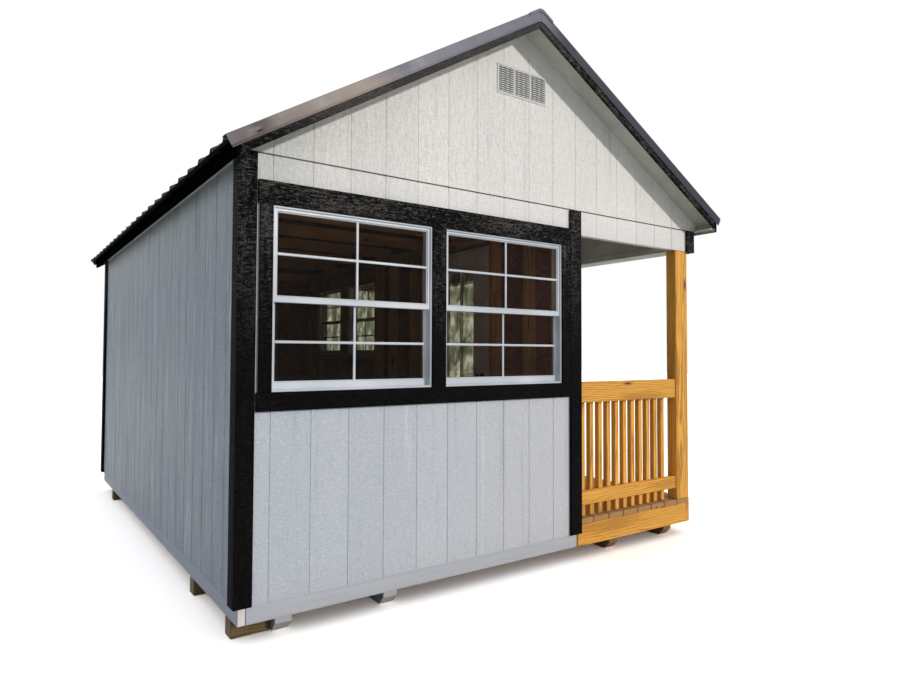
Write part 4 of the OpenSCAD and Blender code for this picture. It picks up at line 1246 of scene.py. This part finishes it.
class SHED_OT_windows(ShedOperator, bpy.types.Operator):
    """Frames, sashes and bars of the windows, and the panes"""

    bl_idname = "shed.windows"
    bl_label = "Windows"

    def make(self, scene):
        look = scene.shed_windows
        vinyl = finish("vinyl", vinyl_finish, look.vinyl, look.vinyl_shade)
        frames = Skin()
        lip = [(0.0, -0.0755), (0.0, 0.0045), (0.0015, 0.006), (0.0085, 0.006), (0.0105, 0.0035),
               (0.0105, -0.001), (0.012, -0.0015), (0.012, -0.0755)]
        for stand, boxes in ((on_front, FRONT_WINDOWS), (on_porch_wall, PORCH_WINDOWS)):
            for box in boxes:
                rounded_ring(frames, box, lip, stand)
        piece("vinyl_frames", frames, [vinyl], ["window_frames"])
        sashes = Skin()
        for sash in spans("window_sashes"):
            self.sash(sashes, look, *sash)
        piece("vinyl_sashes", sashes, [vinyl], ["window_sashes"])
        glass = finish("glass", glass_finish, look)
        give("window_glass", glass)
        give("door_glass", glass)
        self.vents(look)

    def sash(self, skin, look, lowest, highest):
        """One sash: mitred rails round its pane, and the bars that divide it."""
        front = highest[1] < 0
        if front:
            stand, along = on_front, 0
            near, far = -HALF_LENGTH - lowest[1], -HALF_LENGTH - highest[1]
        else:
            stand, along = on_porch_wall, 1
            near, far = highest[0] - PORCH_WALL, lowest[0] - PORCH_WALL
        p0, p1 = next(p for p in spans("window_glass") if (p[1][1] < 0) == front
                      and (lowest < p[0] + 1e-4).all() and (highest > p[1] - 1e-4).all())
        u0, u1 = lowest[along], highest[along]
        rails = (p0[along] - u0, u1 - p1[along], p0[2] - lowest[2], highest[2] - p1[2])
        profile = [(0, 0.0, far), (0, 0.0, near - 0.001), (0, 0.001, near), (1, -0.007, near),
                   (1, -0.005, near - 0.004), (1, 0.0, near - 0.0075), (1, 0.0, far)]
        mitred(skin, (u0, u1, lowest[2], highest[2]), rails, profile, stand)
        self.divide(skin, look, stand, (p0[along], p1[along], p0[2], p1[2]),
                    (near - 0.0035, near - 0.0094), (2, 2))

    @staticmethod
    def divide(skin, look, stand, pane, depth, fields):
        """Bars that divide a pane (u0, u1, z0, z1) into equal fields across and up: flat strips
        with sloping sides between a near and a far depth."""
        (u0, u1, z0, z1), (near, far), (across, up) = pane, depth, fields
        half, bite = look.bar / 2, 0.002
        side, out = np.array([(-half, far), (-half, near - 0.002), (-half + 0.003, near),
                              (half - 0.003, near), (half, near - 0.002), (half, far)]).T
        for k in range(1, across):
            z = np.array([[z0 - bite], [z1 + bite]])
            skin.add(*tube(stand(u0 + (u1 - u0) * k / across + side, z, out)))
        for k in range(1, up):
            u = np.array([[u0 - bite], [u1 + bite]])
            skin.add(*tube(stand(u, z0 + (z1 - z0) * k / up + side, out + 0.0003)))

    def vents(self, look):
        """Gable vents: a flanged frame, two mullions and slats whose front edge zigzags,
        z(u) = z0 + 4.5 mm * |2 frac(3 u / field) - 1|, over a dark screen."""
        plastic = finish("vent", vinyl_finish, look.vent, tuple(0.92 * c for c in look.vent))
        u0, u1 = low("gable_vents", 0), high("gable_vents", 0)
        z0, z1 = low("gable_vents", 2), high("gable_vents", 2)
        edge = 0.013
        field, pitch = (u1 - u0 - 4 * edge) / 3, (z1 - z0 - 2 * edge) / look.slats
        flange = [(0.0, 0.0), (0.001, 0.004), (0.003, 0.006), (0.009, 0.0075), (0.012, 0.0075),
                  (edge, 0.007), (edge, 0.0)]
        inside_u = np.array([[u0 + edge, u1 - edge]])
        inside_z = np.array([[z0 + edge], [z1 - edge]])
        level = (z0 + edge + pitch * (np.arange(look.slats) + 0.12))[:, None, None]
        row = np.array([0.0, 0.0062])[None, :, None]
        skin = Skin()
        for stand in ENDS:
            rounded_ring(skin, (u0, u1, z0, z1), flange, stand)
            for k in (1, 2):
                u = u0 + k * (field + edge) + np.array([0.0, 0.002, edge - 0.002, edge])
                skin.add(*tube(stand(u, inside_z, np.array([0.0, 0.0085, 0.0085, 0.0]))))
            screen = [stand(inside_u, inside_z, d) for d in (0.0022, 0.0002)]
            skin.add(*shell(*screen), 1)
            for k in range(3):
                start = u0 + edge + k * (field + edge)
                u = np.linspace(start, start + field, 25)
                zig = 0.0045 * np.abs(2 * (((u - start) / (field / 3)) % 1.0) - 1)
                z = level + 0.0088 - row * 0.75 + zig
                top, under = stand(u, z, 0.0024 + row), stand(u, z - 0.0042, 0.0024 + row)
                for face, back in zip(top, under):
                    skin.add(*shell(face, back))
        piece("gable_vent_grilles", skin, [plastic, finish("vent_screen", screen_finish)],
              ["gable_vents"])


class SHED_OT_door(ShedOperator, bpy.types.Operator):
    """Glazed door with bars, a raised panel at its foot and turned knobs"""

    bl_idname = "shed.door"
    bl_label = "Door"

    def make(self, scene):
        look = scene.shed_windows
        paint = finish("door", vinyl_finish, look.door, tuple(0.9 * c for c in look.door))
        give("door_frame", paint)
        leaf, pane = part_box("door_leaf"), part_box("door_glass")
        (x0, y0, z0), (x1, y1, z1) = leaf
        (_, a0, b0), (_, a1, b1) = pane
        skin = Skin()
        bars(skin, [standing(r, 1, (x0, x1)) for r in (
            (y0, a0, z0, z1), (a1, y1, z0, z1), (a0, a1, b1, z1), (a0, a1, z0, b0))], 0.0015, 51)
        panel = [(0.0, -0.0010), (0.004, 0.0004), (0.010, 0.0010), (0.016, 0.0003),
                 (0.024, -0.0010)]
        for face, glass, out in ((x1, pane[1][0], 1), (x0, pane[0][0], -1)):
            stand, depth = plane(0, face, out), (glass - face) * out
            bead = [(0.0, depth + 0.001), (0.0, 0.0), (0.004, -0.001), (0.012, -0.006),
                    (0.014, depth + 0.001)]
            rounded_ring(skin, (a0, a1, b0, b1), bead, stand)
            SHED_OT_windows.divide(skin, look, stand, (a0, a1, b0, b1), (-0.006, depth + 0.0005),
                                   (3, 5))
            rounded_ring(skin, (a0 + 0.03, a1 - 0.03, z0 + 0.06, b0 - 0.05), panel, stand)
        piece("glazed_door", skin, [paint], ["door_leaf"])
        self.knobs()

    def knobs(self):
        """Knobs turned round an axis along x: radius r(k) at distance h(k) from the leaf."""
        reach, radius = np.array([(0.0, 0.030), (0.003, 0.030), (0.005, 0.026), (0.006, 0.011),
                                  (0.026, 0.010), (0.030, 0.018), (0.036, 0.025), (0.044, 0.027),
                                  (0.052, 0.024), (0.057, 0.012), (0.058, 0.001)]).T[:, :, None]
        turn = np.linspace(0, 2 * math.pi, 28, endpoint=False)
        leaf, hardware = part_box("door_leaf"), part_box("door_hardware")
        y, z = ((hardware[0][k] + hardware[1][k]) / 2 for k in (1, 2))
        skin = Skin()
        for face, out in ((leaf[1][0], 1), (leaf[0][0], -1)):
            stand = plane(0, face, out)
            skin.add(*tube(stand(y + radius * np.cos(turn), z + radius * np.sin(turn), reach)))
        metal = finish("hardware", metal_finish, "dark_hardware", rgb("3a3632"), rgb("4d4843"),
                       rgb("5c554d"), 0.3, 0.9)
        piece("door_knobs", skin, [metal], ["door_hardware"], smooth=True)


class SHED_OT_porch(ShedOperator, bpy.types.Operator):
    """Posts, rails, balusters, deck boards and rim of the porch"""

    bl_idname = "shed.porch"
    bl_label = "Porch timber"

    def make(self, scene):
        t = scene.shed_timber
        wood = pine(scene)
        deck = finish("deck", timber_finish, "deck_pine", t.deck_light, t.deck_dark, t.knot,
                      wear=0.25, shade=(0.7, 0.64, 0.56))
        for name, node, material, edge, seed in (
                ("porch_post_timbers", "porch_posts", wood, t.edge, 61),
                ("porch_rail_boards", "porch_rails", wood, t.edge * 0.8, 67),
                ("porch_balusters", "balusters", wood, t.edge * 0.7, 71),
                ("porch_deck_boards", "porch_deck", deck, t.edge, 73)):
            timbers(name, node, material, edge, seed)
        rim, gap = Skin(), 0.0003
        (x0, _, z0), (x1, y1, z1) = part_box("porch_rim")
        bars(rim, [block((x1 - LUMBER, -y1, z0), (x1, y1, z1)),
                   block((x0, -y1, z0), (x1 - LUMBER - gap, -y1 + LUMBER, z1)),
                   block((x0, y1 - LUMBER, z0), (x1 - LUMBER - gap, y1, z1))], t.edge * 0.8, 79)
        piece("porch_rim_boards", rim, [wood], ["porch_rim"])


class SHED_OT_base(ShedOperator, bpy.types.Operator):
    """Skids with cut ends, support blocks and the painted rim"""

    bl_idname = "shed.base"
    bl_label = "Base timber"

    def make(self, scene):
        t, look = scene.shed_timber, scene.shed_siding
        paint = finish("painted_timber", painted_timber_finish, look, "painted_timber",
                       (0.82, 0.82, 0.83))
        raw = finish("raw_end", timber_finish, "raw_end", rgb("ece3e0"), rgb("dccfca"),
                     rgb("b09a90"))
        brown = finish("skid", timber_finish, "skid_pine", rgb("85673f"), rgb("5c4426"), t.knot,
                       shade=(0.7, 0.62, 0.5))
        grey = finish("skid_paint", painted_timber_finish, look, "painted_skid", (0.62, 0.63, 0.56))
        skids = Skin()
        for lowest, highest in spans("skids"):
            self.skid(skids, lowest, highest, t.edge)
        piece("skid_timbers", skids, [brown, paint, grey], ["skids"])
        block_wood = finish("block", timber_finish, "block_wood", t.block_light, t.block_dark,
                            rgb("3a2818"))
        timbers("support_block_timbers", "support_blocks", block_wood, 0.004, 83)
        rim, gap, inset = Skin(), 0.0004, 0.003
        (x0, y0, z0), (x1, y1, z1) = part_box("painted_rim")
        bars(rim, [block((x0, y0 + 0.001, z0), (x0 + LUMBER, y1 - 0.001, z1)),
                   block((x0 + LUMBER + gap, y0, z0), (x1, y0 + LUMBER, z1)),
                   block((x0 + LUMBER + gap, y1 - LUMBER, z0), (x1, y1, z1))], 0.003, 89)
        bare_end = block((x0 + inset, y0, z0 + inset),
                         (x0 + LUMBER - inset, y0 + 0.0009, z1 - inset))
        bars(rim, [bare_end], 0.0003, 91, mark=1)
        piece("painted_rim_boards", rim, [paint, raw], ["painted_rim"])

    @staticmethod
    def skid(skin, lowest, highest, edge):
        """One skid: the outline in y and z, a bar whose lower corners are cut back 45 mm at both
        ends, carried across x in four stations of which the outer two are drawn in by the edge.
        The skids of the closed side are painted, with a painted plate 0.7 mm thick on the end."""
        (x0, y0, z0), (x1, y1, z1) = lowest, highest
        cut, coat = 0.045, 0.0007
        out = np.array([(y0 + cut, z0), (y1 - cut, z0), (y1, z0 + cut), (y1, z1), (y0, z1),
                        (y0, z0 + cut)])
        drawn = out + np.sign(out.mean(axis=0) - out) * edge
        x = np.array([x0, x0 + edge, x1 - edge, x1])[:, None, None]
        lines = np.stack([drawn, out, out, drawn])
        rings = np.concatenate([np.broadcast_to(x, (4, 6, 1)), lines], axis=-1)
        points, groups = tube(rings)
        grain = points[:, [1, 0, 2]] + np.array([7.0 * x0, 0.02 - x0, 0.05])
        painted = x0 < 0
        skin.add(points, groups, 2 if painted else 0, grain)
        if painted:
            plate = block((x0 + edge, y0 - coat, z0 + cut + 0.002),
                          (x1 - edge, y0 + coat, z1 - 0.003))
            bars(skin, [plate], 0.0004, 97, mark=1)


class SHED_OT_framing(ShedOperator, bpy.types.Operator):
    """Finishes of the framing and floor inside, each with its grain along the pieces"""

    bl_idname = "shed.framing"
    bl_label = "Framing finishes"

    def make(self, scene):
        board = finish("board", sheet_floor_finish)
        for name, turn, nodes in (
                ("lumber_along_x", (0.0, 0.0, 0.0),
                 ("floor_joists", "wall_headers", "ceiling_ties", "rafters")),
                ("lumber_along_y", (0.0, 0.0, -math.pi / 2),
                 ("bottom_plates", "top_plates", "ridge_board")),
                ("lumber_along_z", (0.0, math.pi / 2, 0.0), ("wall_studs",))):
            for node in nodes:
                give(node, framing(scene, turn, name))
        give("room_floor", board)
        give("roof_decking", board)


class SHED_OT_stage(ShedOperator, bpy.types.Operator):
    """White floor and backdrop, soft light and the camera"""

    bl_idname = "shed.stage"
    bl_label = "Stage"

    def make(self, scene):
        look = scene.shed_stage
        self.camera(scene, look)
        self.floor(look)
        self.light(scene, look)
        scene.view_settings.view_transform = "Standard"

    def camera(self, scene, look):
        """Axes of the view: f = (sin a cos b, cos a cos b, sin b) for yaw a and tilt b, right and
        up square to it, both turned by the roll."""
        a, b, r = look.yaw, look.tilt, look.roll
        ahead = np.array([math.sin(a) * math.cos(b), math.cos(a) * math.cos(b), math.sin(b)])
        right = np.array([math.cos(a), -math.sin(a), 0.0])
        up = np.cross(right, ahead)
        turned = right * math.cos(r) + up * math.sin(r)
        upward = up * math.cos(r) - right * math.sin(r)
        lens = bpy.data.cameras.new("view")
        lens.sensor_width = 36.0
        lens.lens = look.lens
        lens.shift_x, lens.shift_y = look.shift
        lens.clip_end = 200.0
        view = bpy.data.objects.new("view", lens)
        scene.collection.objects.link(view)
        matrix = np.eye(4)
        matrix[:3] = np.stack([turned, upward, -ahead, look.eye], axis=1)
        view.matrix_world = Matrix(matrix.tolist())
        scene.camera = view

    def floor(self, look):
        """Flat floor on a grid. To camera, gloss and glass it is a matt white that the even light
        alone brings past full white, plus a small glow that nothing shades; to light it is grey."""
        f = Finish("pale_floor")
        f.nodes.remove(f.shader)
        gain = look.floor * (1.0 - look.glow) / (look.sky * np.array(look.sky_colour))
        plain = f.add("BsdfDiffuse", {"Color": (0.80, 0.80, 0.80)}).outputs[0]
        dull = f.add("BsdfDiffuse", {"Color": gain.tolist()}).outputs[0]
        glow = f.add("Emission", {"Color": WHITE, "Strength": look.floor * look.glow}).outputs[0]
        both = f.add("AddShader", {0: dull, 1: glow}).outputs[0]
        shown = f.add("MixShader", {0: f.seen(), 1: plain, 2: both}).outputs[0]
        f.put(f.out.inputs["Surface"], shown)
        side = np.linspace(-40, 40, 9)
        x, y = np.meshgrid(side, side, indexing="ij")
        points = np.stack([x, y, 0 * x - 0.0005], axis=-1)
        number = np.arange(x.size).reshape(x.shape)
        quads = np.stack([number[:-1, :-1], number[1:, :-1], number[1:, 1:], number[:-1, 1:]],
                         axis=-1)
        mesh = bpy.data.meshes.new("floor")
        mesh.from_pydata(points.reshape(-1, 3).tolist(), [], quads.reshape(-1, 4).tolist())
        mesh.materials.append(f.material)
        made = bpy.data.objects.new("floor", mesh)
        bpy.context.scene.collection.objects.link(made)
        made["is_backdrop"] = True

    def light(self, scene, look):
        """Even sky for soft light, white to camera, gloss and glass, and one low sun from the
        front right, which lights the shed and leaves the floor alone."""
        scene.world = bpy.data.worlds.new("studio")
        tree = Tree(scene.world)
        sky = tree.add("Background", {"Color": look.sky_colour, "Strength": look.sky}).outputs[0]
        white = tree.add("Background", {"Color": WHITE}).outputs[0]
        shown = tree.add("MixShader", {0: tree.seen(), 1: sky, 2: white}).outputs[0]
        tree.add("OutputWorld", {"Surface": shown})
        lamp = bpy.data.lights.new("sun", "SUN")
        lamp.energy = look.sun
        lamp.color = (1.0, 0.975, 0.94)
        lamp.angle = math.radians(3.0)
        made = bpy.data.objects.new("sun", lamp)
        scene.collection.objects.link(made)
        made.rotation_euler = Vector((-0.39, 0.86, -0.31)).to_track_quat("-Z", "Y").to_euler()
        lit = bpy.data.collections.new("lit_by_sun")
        for other in scene.objects:
            if other.type == "MESH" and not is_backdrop(other):
                lit.objects.link(other)
        made.light_linking.receiver_collection = lit


# ---------------------------------------------------------------- panel, registration and making


SETTINGS = (("shed_siding", ShedSidingSettings), ("shed_trim", ShedTrimSettings),
            ("shed_roof", ShedRoofSettings), ("shed_windows", ShedWindowSettings),
            ("shed_timber", ShedTimberSettings), ("shed_stage", ShedStageSettings))
OPERATORS = (SHED_OT_siding, SHED_OT_trim, SHED_OT_roof, SHED_OT_windows, SHED_OT_door,
             SHED_OT_porch, SHED_OT_base, SHED_OT_framing, SHED_OT_stage)


class SHED_PT_pieces(bpy.types.Panel):
    """The shed's pieces and their settings"""

    bl_label = "Shed"
    bl_idname = "SHED_PT_pieces"
    bl_space_type = "VIEW_3D"
    bl_region_type = "UI"
    bl_category = "Shed"

    def draw(self, context):
        for operator in OPERATORS:
            self.layout.operator(operator.bl_idname)
        for name, group in SETTINGS:
            box = self.layout.box()
            for key in group.__annotations__:
                box.prop(getattr(context.scene, name), key)


def register():
    for _, group in SETTINGS:
        bpy.utils.register_class(group)
    for name, group in SETTINGS:
        setattr(bpy.types.Scene, name, PointerProperty(type=group))
    for item in OPERATORS + (SHED_PT_pieces,):
        bpy.utils.register_class(item)


def unregister():
    for item in reversed(OPERATORS + (SHED_PT_pieces,)):
        bpy.utils.unregister_class(item)
    for name, group in reversed(SETTINGS):
        delattr(bpy.types.Scene, name)
        bpy.utils.unregister_class(group)


def main():
    register()
    for name in ("siding", "trim", "roof", "windows", "door", "porch", "base", "framing", "stage"):
        getattr(bpy.ops.shed, name)()


if __name__ == "__main__":
    main()
